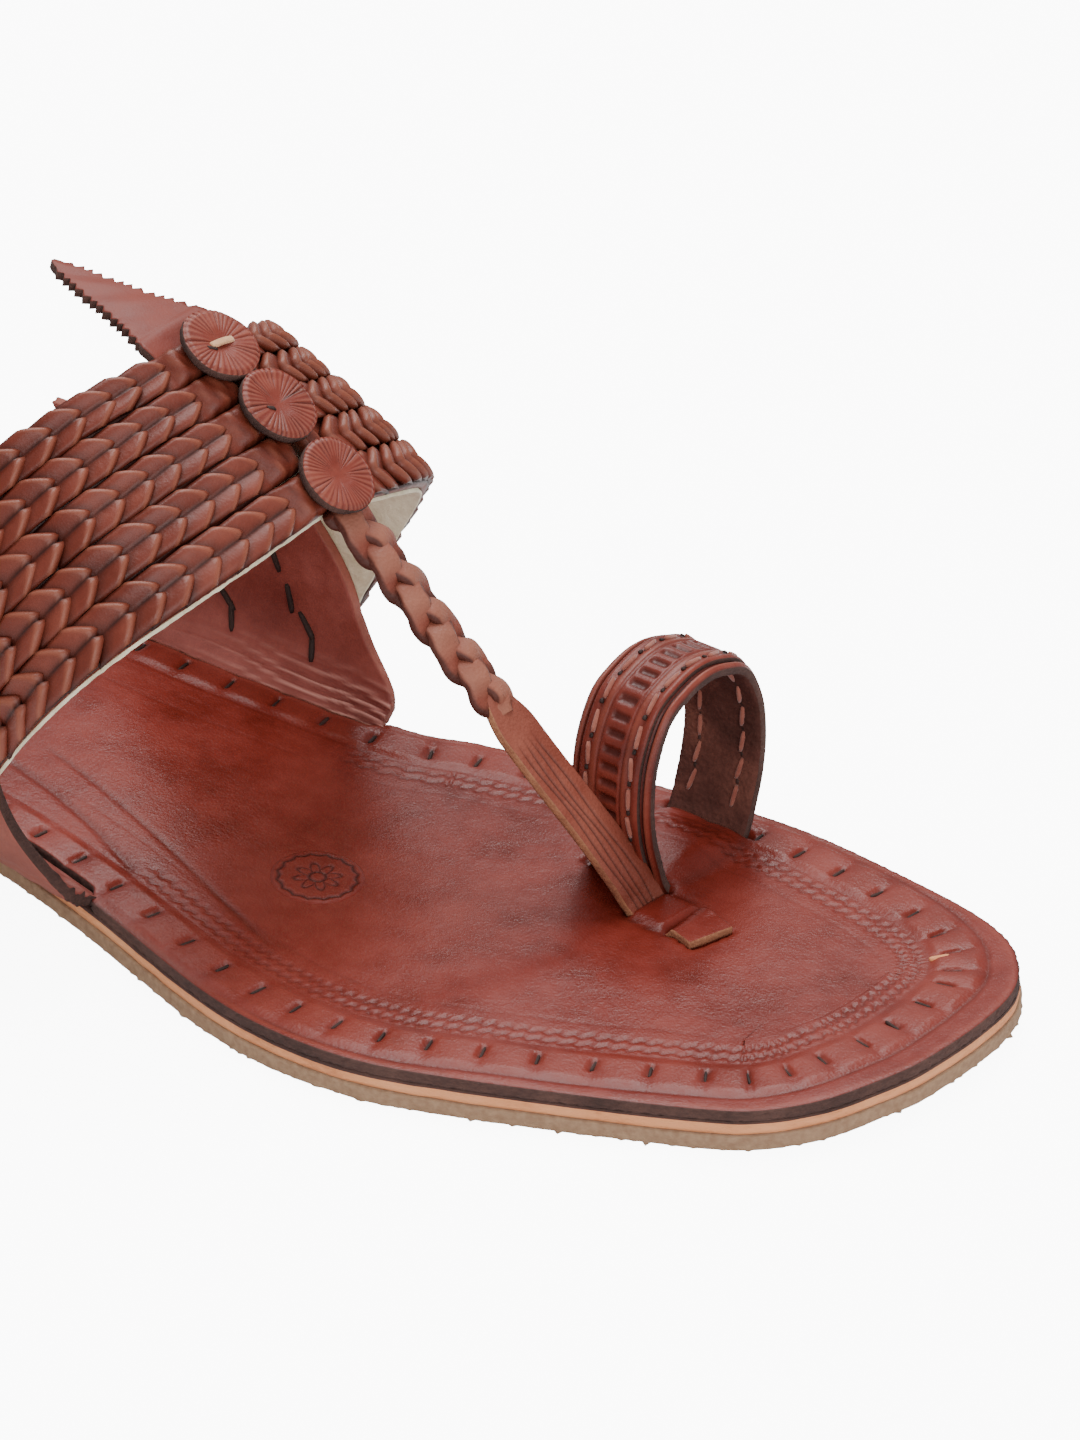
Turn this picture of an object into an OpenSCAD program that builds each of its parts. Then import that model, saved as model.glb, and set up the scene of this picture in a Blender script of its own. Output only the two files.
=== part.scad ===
// Handmade leather toe-ring sandal for the right foot, resting on its sole.
// +X points to the toe, +Y to the inner (big toe) side, +Z up.  Origin: middle of the
// bounding box, on the ground.  The sole is three glued and laced layers on a low heel;
// the top layer is cut with two side ears that bend up; a lined band of plaited straps
// joins the ears over the instep; a plaited thong runs from the band to the sole beside
// a stitched ring for the big toe.

/* [Sole] */
// Length of the sole from heel to toe
sole_length = 260; // [250:1:266]
// Thickness of the rubber outsole
outsole_t = 2.5; // [2:0.1:4]
// Thickness of the leather midsole
midsole_t = 2.3; // [2.1:0.1:3]
// Thickness of the leather top sole
topsole_t = 1.9; // [1.7:0.1:3]
// Height of the heel block under the outsole
heel_h = 7; // [5:0.5:9]
// Lift of the sole at the tip of the toe
toe_spring = 1.5; // [0:0.5:4]
// Distance from one lacing stitch to the next
stitch_pitch = 8.8; // [6:0.5:9]
// Distance of the lacing row from the edge of the sole
stitch_inset = 8; // [6:0.5:9]

/* [Band] */
// Height of the foot space under the front of the band
band_front_h = 66; // [62:1:70]
// Rows of plaited strap on each side
rows = 5; // [5:1:5]
// Thickness of a plaited strap
plait_t = 3.2; // [2.5:0.1:4]
// Gap between neighbouring straps
plait_gap = 0.5; // [0.4:0.1:1]
// Thickness of the suede lining
lining_t = 1.3; // [1:0.1:1.5]
// Thickness of a side ear
ear_t = 2.4; // [2:0.1:2.6]
// Width of a side ear along the sole
ear_w = 50; // [45:1:55]

/* [Trim] */
// Diameter of a pleated disc
disc_d = 12.9; // [12:0.1:13]
// Thickness of a pleated disc
disc_t = 2; // [1.5:0.1:2.5]
// Length of the free leaf behind the band
leaf_l = 24.5; // [20:0.5:30]
// Width of the leaf where it leaves the band
leaf_w = 16; // [14:1:18]
// Thickness of the leaf
leaf_t = 1.5; // [1.2:0.1:1.7]

/* [Toe straps] */
// Width of the flat end of the thong
thong_w = 8.4; // [8:0.2:9]
// Width of the toe ring strap
ring_w = 15.8; // [14:0.2:17]
// Half the width of the toe ring at its widest
ring_half = 14.4; // [14:0.2:15.2]
// Height of the toe ring's strap line above the ground
ring_h = 40.7; // [40:0.1:43]

/* [Hidden] */

half_l = sole_length / 2;
eps = 0.01;
LATERAL = -1;
MEDIAL = 1;

// ---- Sole: outline and side profile --------------------------------------------
// Edge of the sole on each side, from the toe back to the heel.
LATERAL_EDGE = [[128, 1], [125, -7.6], [120.5, -16.6], [113.5, -24.1], [105.5, -28.3],
                [88.5, -35.1], [70, -41.9], [55, -46], [40, -46.5], [24, -43.7], [-4, -35.6],
                [-30, -30.6], [-60, -29], [-91, -30.6], [-113, -25], [-125.5, -12]];
MEDIAL_EDGE = [[-130, 4], [-125.5, 19], [-111, 30.5], [-89, 35], [-60, 35.5], [-28, 35.5],
               [4, 39.4], [17, 44.2], [38, 48.9], [60, 51.1], [76, 51.2], [92, 48.9],
               [108.5, 45.2], [119, 40.5], [125.5, 34.1], [129.4, 26], [130, 15]];
EDGE = [for (p = concat(LATERAL_EDGE, MEDIAL_EDGE)) [p.x * half_l / 130, p.y]];

// Lift of the sole's underside above the ground along its length.
heel_len = 72;
waist_front = 32;
waist_run = 84;
toe_break = 95;
function ease(t) = let (c = min(1, max(0, t))) c * c * (3 - 2 * c);
function rise(x) = heel_h * ease((waist_front - x) / waist_run)
    + toe_spring * pow(max(0, (x - toe_break) / (half_l - toe_break)), 2);
top_z = outsole_t + midsole_t + topsole_t;

function bend(a, b, c, d, t) = 0.5 * (2 * b + (c - a) * t
    + (2 * a - 5 * b + 4 * c - d) * t * t + (3 * b - a - 3 * c + d) * t * t * t);
function loop_curve(p, n) = let (m = len(p))
    [for (i = [0 : m - 1]) for (k = [0 : n - 1])
        bend(p[(i + m - 1) % m], p[i], p[(i + 1) % m], p[(i + 2) % m], k / n)];
OUTLINE = loop_curve(EDGE, 5);

function unit(v) = v / norm(v);
// A closed curve moved inwards by d.
function inset(p, d) = let (m = len(p)) [for (i = [0 : m - 1])
    let (t = unit(p[(i + 1) % m] - p[(i + m - 1) % m])) p[i] + d * [t.y, -t.x]];

module layer(below, thick, shrink) {
    steps = 40;
    xs = [for (i = [0 : steps]) -half_l - 2 + i * (2 * half_l + 4) / steps];
    profile = concat([for (x = xs) [x, rise(x) + below]],
                     [for (i = [steps : -1 : 0]) [xs[i], rise(xs[i]) + below + thick]]);
    intersection() {
        linear_extrude(60) polygon(inset(OUTLINE, shrink));
        translate([0, 80, 0]) rotate([90, 0, 0]) linear_extrude(160) polygon(profile);
    }
}

// ---- Straps swept through stations ----------------------------------------------
// A station is [centre, width direction, face direction, half width, half thickness].
SECTION = [[1, -0.4], [1, 0.3], [0.7, 0.85], [0, 1], [-0.7, 0.85], [-1, 0.3], [-1, -0.4],
           [-0.8, -1], [0.8, -1]];
FLAT = [[1, -1], [1, 1], [-1, 1], [-1, -1]];
function ring_at(s, section) =
    [for (c = section) s[0] + s[1] * s[3] * c.x + s[2] * s[4] * c.y];
module strap(stations, section = FLAT, closed = false) {
    n = len(section);
    m = len(stations);
    points = [for (s = stations) each ring_at(s, section)];
    sides = [for (i = [0 : closed ? m - 1 : m - 2]) for (k = [0 : n - 1])
        let (j = (i + 1) % m, l = (k + 1) % n) [i * n + k, i * n + l, j * n + l, j * n + k]];
    ends = closed ? [] : [[for (k = [n - 1 : -1 : 0]) k], [for (k = [0 : n - 1]) (m - 1) * n + k]];
    polyhedron(points, concat(sides, ends), convexity = 8);
}

// A closed sheet between two grids of points that have the same rows and columns.
module sheet(outer, inner) {
    m = len(outer);
    n = len(outer[0]);
    s = m * n;
    points = concat([for (r = outer) each r], [for (r = inner) each r]);
    faces = concat(
        [for (i = [0 : m - 2]) for (j = [0 : n - 2]) let (a = i * n + j) [a, a + 1, a + n + 1, a + n]],
        [for (i = [0 : m - 2]) for (j = [0 : n - 2]) let (a = s + i * n + j)
            [a, a + n, a + n + 1, a + 1]],
        [for (j = [0 : n - 2]) [j, s + j, s + j + 1, j + 1]],
        [for (j = [0 : n - 2]) let (a = (m - 1) * n + j) [a, a + 1, s + a + 1, s + a]],
        [for (i = [0 : m - 2]) let (a = i * n) [a, a + n, s + a + n, s + a]],
        [for (i = [0 : m - 2]) let (a = i * n + n - 1) [a, s + a, s + a + n, a + n]]);
    polyhedron(points, faces, convexity = 8);
}

// ---- The foot form that the ears and the band follow ------------------------------
ridge_y = 6.65;         // the highest line of the instep
band_nose = 13.3;       // front of the band on that line
band_tail = -14.5;      // rear of the band on that line
instep_gain = 47.3;     // how much higher the instep gets towards the ankle
instep_fall = 48.5;     // how quickly it does so
wide_at = 0.7;          // share of the way down where the form is widest
ear_set = 2.5;          // distance of an ear's outer face from the edge of the sole
function instep(x) = band_front_h + instep_gain * (1 - exp(-(band_nose - x) / instep_fall));
function half_w(side, x) = side == LATERAL ? 53 - 0.05 * max(0, -15 - x) : 37.8 - 0.04 * max(0, -15 - x);
function wide_z(side) = side == LATERAL ? 33 : 24;
function power(side) = side == LATERAL ? 0.92 : 0.9;
function edge_y(side, x) = lookup(x, side == LATERAL ? LATERAL_EDGE : MEDIAL_EDGE);
// u runs from the ridge (0) down to the edge of the sole (1); x along the foot.
function form(side, u, x) = let (
        zw = wide_z(side), yw = ridge_y + side * half_w(side, x),
        a = 90 * min(1, u / wide_at), b = 90 * max(0, (u - wide_at) / (1 - wide_at)),
        yb = edge_y(side, x) - side * ear_set, zb = rise(x) + top_z - 0.7 * topsole_t)
    u <= wide_at
        ? [x, ridge_y + side * half_w(side, x) * pow(sin(a), power(side)),
           zw + (instep(x) - zw) * pow(max(0, cos(a)), power(side))]
        : [x, yb + (yw - yb) * cos(b), zw - (zw - zb) * sin(b)];
// Outward direction of the form.
function out(side, u, x) = let (
        d = 0.004, u0 = max(0.001, u - d), u1 = min(1, u + d),
        du = form(side, u1, x) - form(side, u0, x),
        dx = form(side, u, x + 1) - form(side, u, x - 1))
    unit(side * cross(dx, du));
function lifted(side, u, x, d) = form(side, u, x) + d * out(side, u, x);

// Front and rear edges of the band, and the end of each row on the ear.
function band_front(side, u) = side == LATERAL ? band_nose - 62.6 * pow(u, 2.35)
                                               : band_nose + 18.9 * u - 73.7 * u * u;
function band_rear(side, u) = side == LATERAL ? band_tail - 75 * pow(u, 1.67)
                                              : band_tail + 30.2 * u - 158 * u * u;
function band_x(side, u, v) = band_front(side, u) * (1 - v) + band_rear(side, u) * v;
function band_end(v) = 0.78 - 0.15 * v;
lining_gap = 0.15;
plait_lift = 2 * lining_gap + lining_t;

// Front and rear edges of an ear.
ear_top = 0.58;
function ear_front(side, u) = (side == LATERAL ? -4 : 2) - 112 * pow(1 - u, 2);

// ---- Sole ------------------------------------------------------------------------
module heel_block() {
    color("dimgray")
    intersection() {
        linear_extrude(heel_h + 1) polygon(inset(OUTLINE, 1.2));
        translate([0, 80, 0]) rotate([90, 0, 0]) linear_extrude(160)
            polygon(concat([[-half_l - 2, 0], [-half_l + heel_len, 0]],
                [for (i = [10 : -1 : 0]) let (x = -half_l - 2 + i * (heel_len + 2) / 10)
                    [x, rise(x) - eps]]));
    }
}

module outsole() { color("rosybrown") layer(0, outsole_t, 0); }

module midsole() {
    color("sandybrown") difference() {
        layer(outsole_t, midsole_t, 0.5);
        strap_windows();
    }
}

// Openings in the midsole where the ring strap and the thong pass under the top sole.
module strap_windows() {
    translate([ring_x, ring_y, outsole_t + midsole_t / 2]) rotate(ring_turn)
        cube([ring_w + 1, 2 * ring_foot + 6, 2 * midsole_t], center = true);
    down = THONG[THONG_DOWN];
    up = THONG[THONG_UP];
    translate([(down.x + up.x) / 2, (down.y + up.y) / 2, outsole_t + midsole_t])
        rotate(atan2(up.y - down.y, up.x - down.x))
            cube([norm(up - down) + 5, thong_w + 2, 2 * midsole_t], center = true);
}

module top_sole() {
    color("brown") {
        difference() {
            layer(outsole_t + midsole_t, topsole_t, 0.6);
            sole_slits();
        }
        for (side = [LATERAL, MEDIAL]) ear(side);
    }
}

// Slits in the top sole for the two feet of the ring and for the thong.
slit_w = 4;
module sole_slits() {
    for (foot = [-1, 1])
        translate([ring_x, ring_y, top_z]) rotate(ring_turn)
            translate([0, foot * ring_foot, 0]) cube([ring_w + 1, slit_w, 8], center = true);
    for (i = [THONG_DOWN, THONG_UP]) {
        along = THONG[i + 1] - THONG[i - 1];
        translate([THONG[i].x, THONG[i].y, top_z]) rotate(atan2(along.y, along.x))
            cube([slit_w, thong_w + 1, 8], center = true);
    }
}

module ear(side) {
    us = [for (i = [0 : 14]) ear_top + (1 - ear_top) * i / 14];
    across = [for (j = [0 : 6]) j / 6];
    outer = [for (u = us) [for (v = across) lifted(side, u, ear_front(side, u) - ear_w * v, 0)]];
    inner = [for (u = us) [for (v = across) lifted(side, u, ear_front(side, u) - ear_w * v, -ear_t)]];
    if (side == LATERAL) sheet(inner, outer);
    else sheet(outer, inner);
}

// Lacing: the bars of leather lace that show in the slits around the sole.
lace_len = 4;
lace_w = 1;
module sole_lacing() {
    line = inset(OUTLINE, stitch_inset);
    m = len(line);
    run = [for (i = 0, s = 0; i <= m; s = s + norm(line[(i + 1) % m] - line[i % m]), i = i + 1) s];
    count = floor(run[m] / stitch_pitch);
    xs = [for (i = [0 : m]) [run[i], line[i % m].x]];
    ys = [for (i = [0 : m]) [run[i], line[i % m].y]];
    color("black") for (k = [0 : count - 1]) {
        s = k * run[m] / count;
        x = lookup(s, xs);
        y = lookup(s, ys);
        under_ring = abs(x - ring_x) < ring_w / 2 + 2 && abs(y - ring_y) < ring_foot + 4;
        turn = atan2(lookup(s + 1, ys) - y, lookup(s + 1, xs) - x);
        if (!under_ring) translate([x, y, rise(x) + top_z - 0.4]) rotate(turn + 90)
            cube([lace_len, lace_w, 1.2], center = true);
    }
}

// Lacing that fixes an end of the band to its ear, seen on the inside of the ear.
module ear_lacing(side) {
    color("black") for (column = [16, 30, 43]) for (k = [0 : 3]) {
        u = 0.62 + 0.055 * k;
        x = ear_front(side, u) - column;
        low = lifted(side, u + 0.03, x + 1, -ear_t);
        high = lifted(side, u, x, -ear_t);
        face = side * unit(cross(low - high, [1, 0, 0]));
        strap([for (p = side == LATERAL ? [low, high] : [high, low]) [p, [1, 0, 0], face, 0.5, 0.5]]);
    }
}

// ---- Band ------------------------------------------------------------------------
module band_lining() {
    ws = [for (i = [-22 : 22]) i / 22];
    across = [for (j = [0 : 6]) j / 6];
    function at(w, v, d) = let (side = w < 0 ? LATERAL : MEDIAL, u = abs(w) * band_end(v))
        lifted(side, u, band_x(side, u, v), d);
    color("wheat") sheet([for (w = ws) [for (v = across) at(w, v, lining_gap + lining_t)]],
                         [for (w = ws) [for (v = across) at(w, v, lining_gap)]]);
}

// One plaited strap; row 0 is the front row.
module plait(side, row) {
    v0 = row / rows;
    v1 = (row + 1) / rows;
    vm = (v0 + v1) / 2;
    steps = 18;
    stations = [for (i = [0 : steps])
        let (t = 0.004 + 0.996 * i / steps, u = t * band_end(vm),
             a = lifted(side, u, band_x(side, u, v0), plait_lift + plait_t / 2),
             b = lifted(side, u, band_x(side, u, v1), plait_lift + plait_t / 2))
        [(a + b) / 2, side * unit(a - b), out(side, u, band_x(side, u, vm)),
         norm(b - a) / 2 - plait_gap / 2, plait_t / 2]];
    color("firebrick") strap(stations, SECTION);
}

// ---- Discs on the centre line -----------------------------------------------------
// Where the centre of each disc is over the ridge line, front to rear.
DISC_X = [10.8, 0.2, -10.3];
function tilt(x) = atan2(instep(x - 1) - instep(x + 1), 2);
disc_lift = plait_lift + plait_t + 0.35;
module on_ridge(x, lift) {
    translate([x, ridge_y, instep(x)]) rotate([0, tilt(x), 0]) translate([0, 0, lift]) children();
}
module disc(i) {
    color("brown") on_ridge(DISC_X[i], disc_lift) cylinder(d = disc_d, h = disc_t, $fn = 48);
}
module disc_laces() {
    color("peru") for (x = DISC_X) on_ridge(x, disc_lift + disc_t - 0.6) {
        rotate(30) translate([-2.2, -0.5, 0]) cube([4.4, 1, 1.1]);
    }
}

// ---- Leaf behind the band -----------------------------------------------------------
// The leaf is sewn under the band; its free part bends up and down at the band's edge.
hinge_x = band_tail - 1.7;
hinge_z = 89.3;
hinge_gap = 0.3;
leaf_rise = 12;
root_lift = plait_lift + leaf_t / 2 + 0.3;
function leaf_line(t) = [hinge_x - leaf_l * t * cos(leaf_rise), ridge_y,
     hinge_z + leaf_l * t * sin(leaf_rise)];
function leaf_half(t) = leaf_w / 2 * pow(1 - t, 0.8) * (1 - 0.18 * sin(180 * t)) + 0.5;
module leaf_tongue() {
    steps = 10;
    t0 = hinge_gap / leaf_l;
    color("brown") strap([for (i = [0 : steps]) let (t = t0 + (1 - t0) * i / steps)
        [leaf_line(t), [0, 1, 0], [sin(leaf_rise), 0, cos(leaf_rise)], leaf_half(t), leaf_t / 2]]);
}
module leaf_root() {
    under = [for (x = [-10.5, -12.5]) let (n = [sin(tilt(x)), 0, cos(tilt(x))])
        [[x, ridge_y, instep(x)] + root_lift * n, n]];
    last = [leaf_line(-hinge_gap / leaf_l), [sin(leaf_rise), 0, cos(leaf_rise)]];
    color("brown") strap([for (s = concat(under, [last])) [s[0], [0, 1, 0], s[1], leaf_w / 2, leaf_t / 2]]);
}

// ---- Thong ---------------------------------------------------------------------------
THONG = [[15.7, 7.05, 67], [24, 8, 58.9], [33.2, 8.9, 49], [42.4, 10.1, 39.6],
         [51.4, 11.1, 29.8], [59.4, 12.2, 20.4], [63.8, 14.2, 13.1], [65.6, 16.4, 8.6],
         [67, 17.2, 5.6], [69, 16.9, 3.7], [72, 16.5, 3.7], [74, 16.2, 5.6],
         [75.7, 15.9, 7], [77.7, 15.2, 7.35], [81.2, 13.9, 7.35]];
THONG_DOWN = 8;         // where it passes down through the top sole
THONG_UP = 11;          // and where it comes back up
plait_end = 3;
module toe_thong() {
    m = len(THONG);
    color("firebrick") strap([for (i = [0 : m - 1])
        let (d = unit(THONG[min(m - 1, i + 1)] - THONG[max(0, i - 1)]),
             w = unit(cross([d.x, d.y, 0], [0, 0, 1])),
             plaited = i <= plait_end)
        [THONG[i], w, unit(cross(w, d)), plaited ? 3.9 : thong_w / 2, plaited ? 2.3 : 0.75]]);
}

// ---- Toe ring --------------------------------------------------------------------------
ring_x = 60;            // middle of the ring along the sole
ring_y = 33.8;          // and across it
ring_turn = -5;         // turned with the big toe
ring_foot = 9.8;        // half the distance between its feet
ring_t = 1.6;
overlay_t = 1;
overlay_w = ring_w - 4;
RING_SIDE = [[10.4, 7.4], [12.2, 12], [13.8, 17.5], [ring_half, 24], [13.4, 31], [10, 37.2],
             [5.3, ring_h - 1]];
RING = concat([[0, 3.65], [7, 3.8]], RING_SIDE, [[0, ring_h]],
              [for (i = [len(RING_SIDE) - 1 : -1 : 0]) [-RING_SIDE[i].x, RING_SIDE[i].y]],
              [[-7, 3.8]]);
RING_CURVE = loop_curve(RING, 3);
function ring_station(i, d, w, t) = let (m = len(RING_CURVE),
        p = RING_CURVE[(i + m) % m], q = RING_CURVE[(i + 1 + m) % m] - RING_CURVE[(i - 1 + m) % m],
        o = unit([0, q.y, -q.x]))
    [[0, p.x, p.y] + o * d, [-1, 0, 0], o, w / 2, t / 2];
module place_ring() { translate([ring_x, ring_y, 0]) rotate(ring_turn) children(); }
module toe_ring_base() {
    color("brown") place_ring()
        strap([for (i = [0 : len(RING_CURVE) - 1]) ring_station(i, 0, ring_w, ring_t)],
              closed = true);
}
// Stations of the ring's curve that stand above the sole.
over_first = 7;
over_last = len(RING_CURVE) - over_first;
module toe_ring_overlay() {
    color("brown") place_ring()
        strap([for (i = [over_first : over_last])
            ring_station(i, (ring_t + overlay_t) / 2 + 0.02, overlay_w, overlay_t)]);
}
stitch_rows = [-4.3, 4.3];
module toe_ring_stitching() {
    color("salmon") place_ring() for (x = stitch_rows) for (i = [over_first + 1 : over_last - 1]) {
        for (d = [ring_t / 2 + overlay_t + 0.02, -ring_t / 2]) {
            s = ring_station(i, d, 0.9, 0.7);
            q = unit(ring_station(i + 1, d, 1, 1)[0] - ring_station(i - 1, d, 1, 1)[0]);
            strap([for (k = [-1, 1]) [s[0] + [x, 0, 0] + 1.1 * k * q, s[1], s[2], 0.45, 0.35]]);
        }
    }
}

heel_block();
outsole();
midsole();
top_sole();
sole_lacing();
ear_lacing(LATERAL);  // ear_lacing_lateral
ear_lacing(MEDIAL);  // ear_lacing_medial
band_lining();
plait(LATERAL, 0);  // plait_lateral_1
plait(LATERAL, 1);  // plait_lateral_2
plait(LATERAL, 2);  // plait_lateral_3
plait(LATERAL, 3);  // plait_lateral_4
plait(LATERAL, 4);  // plait_lateral_5
plait(MEDIAL, 0);  // plait_medial_1
plait(MEDIAL, 1);  // plait_medial_2
plait(MEDIAL, 2);  // plait_medial_3
plait(MEDIAL, 3);  // plait_medial_4
plait(MEDIAL, 4);  // plait_medial_5
disc(2);  // disc_rear
disc(1);  // disc_middle
disc(0);  // disc_front
disc_laces();
leaf_root();
leaf_tongue();
toe_thong();
toe_ring_base();
toe_ring_overlay();
toe_ring_stitching();
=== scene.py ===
import math

import bmesh
import bpy
import numpy as np
from mathutils import Matrix, Vector


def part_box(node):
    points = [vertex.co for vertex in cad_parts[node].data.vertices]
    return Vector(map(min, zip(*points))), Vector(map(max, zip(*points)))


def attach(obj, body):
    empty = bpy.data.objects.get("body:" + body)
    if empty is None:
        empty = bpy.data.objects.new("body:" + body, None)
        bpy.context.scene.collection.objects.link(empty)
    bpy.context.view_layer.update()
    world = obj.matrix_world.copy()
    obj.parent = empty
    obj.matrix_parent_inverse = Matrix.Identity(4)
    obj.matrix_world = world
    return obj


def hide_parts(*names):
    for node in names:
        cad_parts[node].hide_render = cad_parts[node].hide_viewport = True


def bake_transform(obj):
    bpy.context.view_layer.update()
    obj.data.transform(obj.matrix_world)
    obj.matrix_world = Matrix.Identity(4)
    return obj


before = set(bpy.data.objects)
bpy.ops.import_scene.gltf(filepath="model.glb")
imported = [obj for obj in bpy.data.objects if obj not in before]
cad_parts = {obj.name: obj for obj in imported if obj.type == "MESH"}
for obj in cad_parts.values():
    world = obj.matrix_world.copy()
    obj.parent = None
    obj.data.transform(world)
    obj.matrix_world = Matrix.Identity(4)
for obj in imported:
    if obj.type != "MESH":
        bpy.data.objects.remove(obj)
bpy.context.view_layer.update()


# ---- Outsole and heel ----------------------------------------------------------------
# The wearing layer: crepe rubber about 2.5 mm thick, knife-cut to the outline and glued
# on, with small burrs left along its lower edge.  A low block of the same rubber under
# the heel is glued below it.

MM = 0.001
half_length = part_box("outsole")[1].x / MM
outsole_t = 2.5
midsole_t = 2.3
topsole_t = 1.9
sole_top = outsole_t + midsole_t + topsole_t
heel_h = 7.0
heel_front = 72.0 - half_length
LATERAL_EDGE = [(130, 15), (128, 1), (125, -7.6), (120.5, -16.6), (113.5, -24.1), (105.5, -28.3),
                (88.5, -35.1), (70, -41.9), (55, -46), (40, -46.5), (24, -43.7), (-4, -35.6),
                (-30, -30.6), (-60, -29), (-91, -30.6), (-113, -25), (-125.5, -12)]
MEDIAL_EDGE = [(-130, 4), (-125.5, 19), (-111, 30.5), (-89, 35), (-60, 35.5), (-28, 35.5),
               (4, 39.4), (17, 44.2), (38, 48.9), (60, 51.1), (76, 51.2), (92, 48.9),
               (108.5, 45.2), (119, 40.5), (125.5, 34.1), (129.4, 26)]


def ease(t):
    t = np.clip(t, 0, 1)
    return t * t * (3 - 2 * t)


def rise(x):
    """Lift of the sole's underside above the ground: the heel, and a little at the toe."""
    return heel_h * ease((32 - x) / 84) + 1.5 * np.clip((x - 95) / (half_length - 95), 0, 2) ** 2


def curve_through(points, steps, closed):
    """Catmull-Rom curve through the points, with that many steps for each of them."""
    p = np.array(points, float)
    n = len(p)
    out = []
    for i in range(n if closed else n - 1):
        a, b, c, d = (p[j % n] if closed else p[min(max(j, 0), n - 1)] for j in (i - 1, i, i + 1, i + 2))
        for t in np.arange(steps) / steps:
            out.append(0.5 * (2 * b + (c - a) * t + (2 * a - 5 * b + 4 * c - d) * t ** 2
                              + (3 * b - a - 3 * c + d) * t ** 3))
    if not closed:
        out.append(p[-1])
    return np.array(out)


def at_run(at, run, field):
    """Values of a field of vectors, known along a run, at other distances along it."""
    return np.stack([np.interp(at, run, field[:, k]) for k in range(field.shape[1])], 1)


def evenly(curve, count, closed):
    """The same curve with its points spread evenly along it, and their distances."""
    p = np.vstack([curve, curve[:1]]) if closed else curve
    run = np.concatenate([[0], np.cumsum(np.linalg.norm(np.diff(p, axis=0), axis=1))])
    at = np.linspace(0, run[-1], count + 1)[:-1] if closed else np.linspace(0, run[-1], count)
    return at_run(at, run, p), at


def unit(v):
    return v / np.maximum(np.linalg.norm(v, axis=-1, keepdims=True), 1e-9)


# The outline starts at the tip of the toe and reaches the tip of the heel half way round,
# so that point i on the outer side faces point -i on the inner side.
HALF = 480
outline = curve_through(LATERAL_EDGE + MEDIAL_EDGE, 12, True)
tip_of_heel = 12 * len(LATERAL_EDGE)
EDGE = np.vstack([evenly(outline[:tip_of_heel + 1], HALF + 1, False)[0][:-1],
                  evenly(np.vstack([outline[tip_of_heel:], outline[:1]]), HALF + 1, False)[0][:-1]])
edge_step = np.linalg.norm(np.roll(EDGE, -1, 0) - EDGE, axis=1)
edge_run = np.concatenate([[0], np.cumsum(edge_step)[:-1]])
perimeter = edge_step.sum()
edge_tangent = unit(np.roll(EDGE, -1, 0) - np.roll(EDGE, 1, 0))
EDGE_IN = np.stack([edge_tangent[:, 1], -edge_tangent[:, 0]], 1)


def to_midline(ring, share):
    """A closed ring of the outline drawn in towards the line down the middle of the sole."""
    facing = ring[(-np.arange(len(ring))) % len(ring)]
    return ring + ((ring + facing) / 2 - ring) * share


def ripple(values, waves, seed, size):
    """Smooth repeatable roughness along a closed run: a sum of a few random waves."""
    rng = np.random.default_rng(seed)
    total = np.zeros_like(values)
    for k in waves:
        total += rng.normal() / math.sqrt(len(waves)) * np.sin(
            2 * math.pi * (k * values / perimeter + rng.random()))
    return size * total


def to_mesh(name, points, faces, materials, kinds=None, values=None):
    """A mesh object from points in millimetres, with its materials and point attributes."""
    mesh = bpy.data.meshes.new(name)
    mesh.from_pydata((np.asarray(points) * MM).tolist(), [], [list(f) for f in faces])
    for m in materials:
        mesh.materials.append(m)
    if kinds is not None:
        mesh.polygons.foreach_set("material_index", np.asarray(kinds, np.int32))
    for key, data in (values or {}).items():
        attribute = mesh.attributes.new(key, "FLOAT", "POINT")
        attribute.data.foreach_set("value", np.asarray(data, np.float32))
    mesh.polygons.foreach_set("use_smooth", np.full(len(mesh.polygons), True))
    mesh.update()
    made = bpy.data.objects.new(name, mesh)
    bpy.context.scene.collection.objects.link(made)
    return made


def band_faces(rows, columns, closed, first=0):
    """Quads between rows of points; each row closes on itself if closed."""
    a = first + np.arange(rows - 1)[:, None] * columns + np.arange(columns if closed else columns - 1)
    step = np.arange(columns if closed else columns - 1)
    nxt = (step + 1) % columns - step
    return np.stack([a, a + nxt, a + nxt + columns, a + columns], -1).reshape(-1, 4)


def layer_slab(name, rings_xy, rings_z, materials, kinds, values):
    """A closed layer of the sole from rings of points, top centre to bottom centre."""
    points = np.concatenate([np.column_stack([xy, z]) for xy, z in zip(rings_xy, rings_z)])
    faces = band_faces(len(rings_xy), len(EDGE), True)
    made = to_mesh(name, points, faces, materials, np.repeat(kinds, len(EDGE)), values)
    weld(made, 0.02)
    return made


def weld(obj, gap):
    """Merge doubles and point every face outwards."""
    bm = bmesh.new()
    bm.from_mesh(obj.data)
    bmesh.ops.remove_doubles(bm, verts=bm.verts, dist=gap * MM)
    bmesh.ops.dissolve_degenerate(bm, dist=1e-7, edges=bm.edges)
    bmesh.ops.recalc_face_normals(bm, faces=bm.faces)
    bm.to_mesh(obj.data)
    bm.free()


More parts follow.
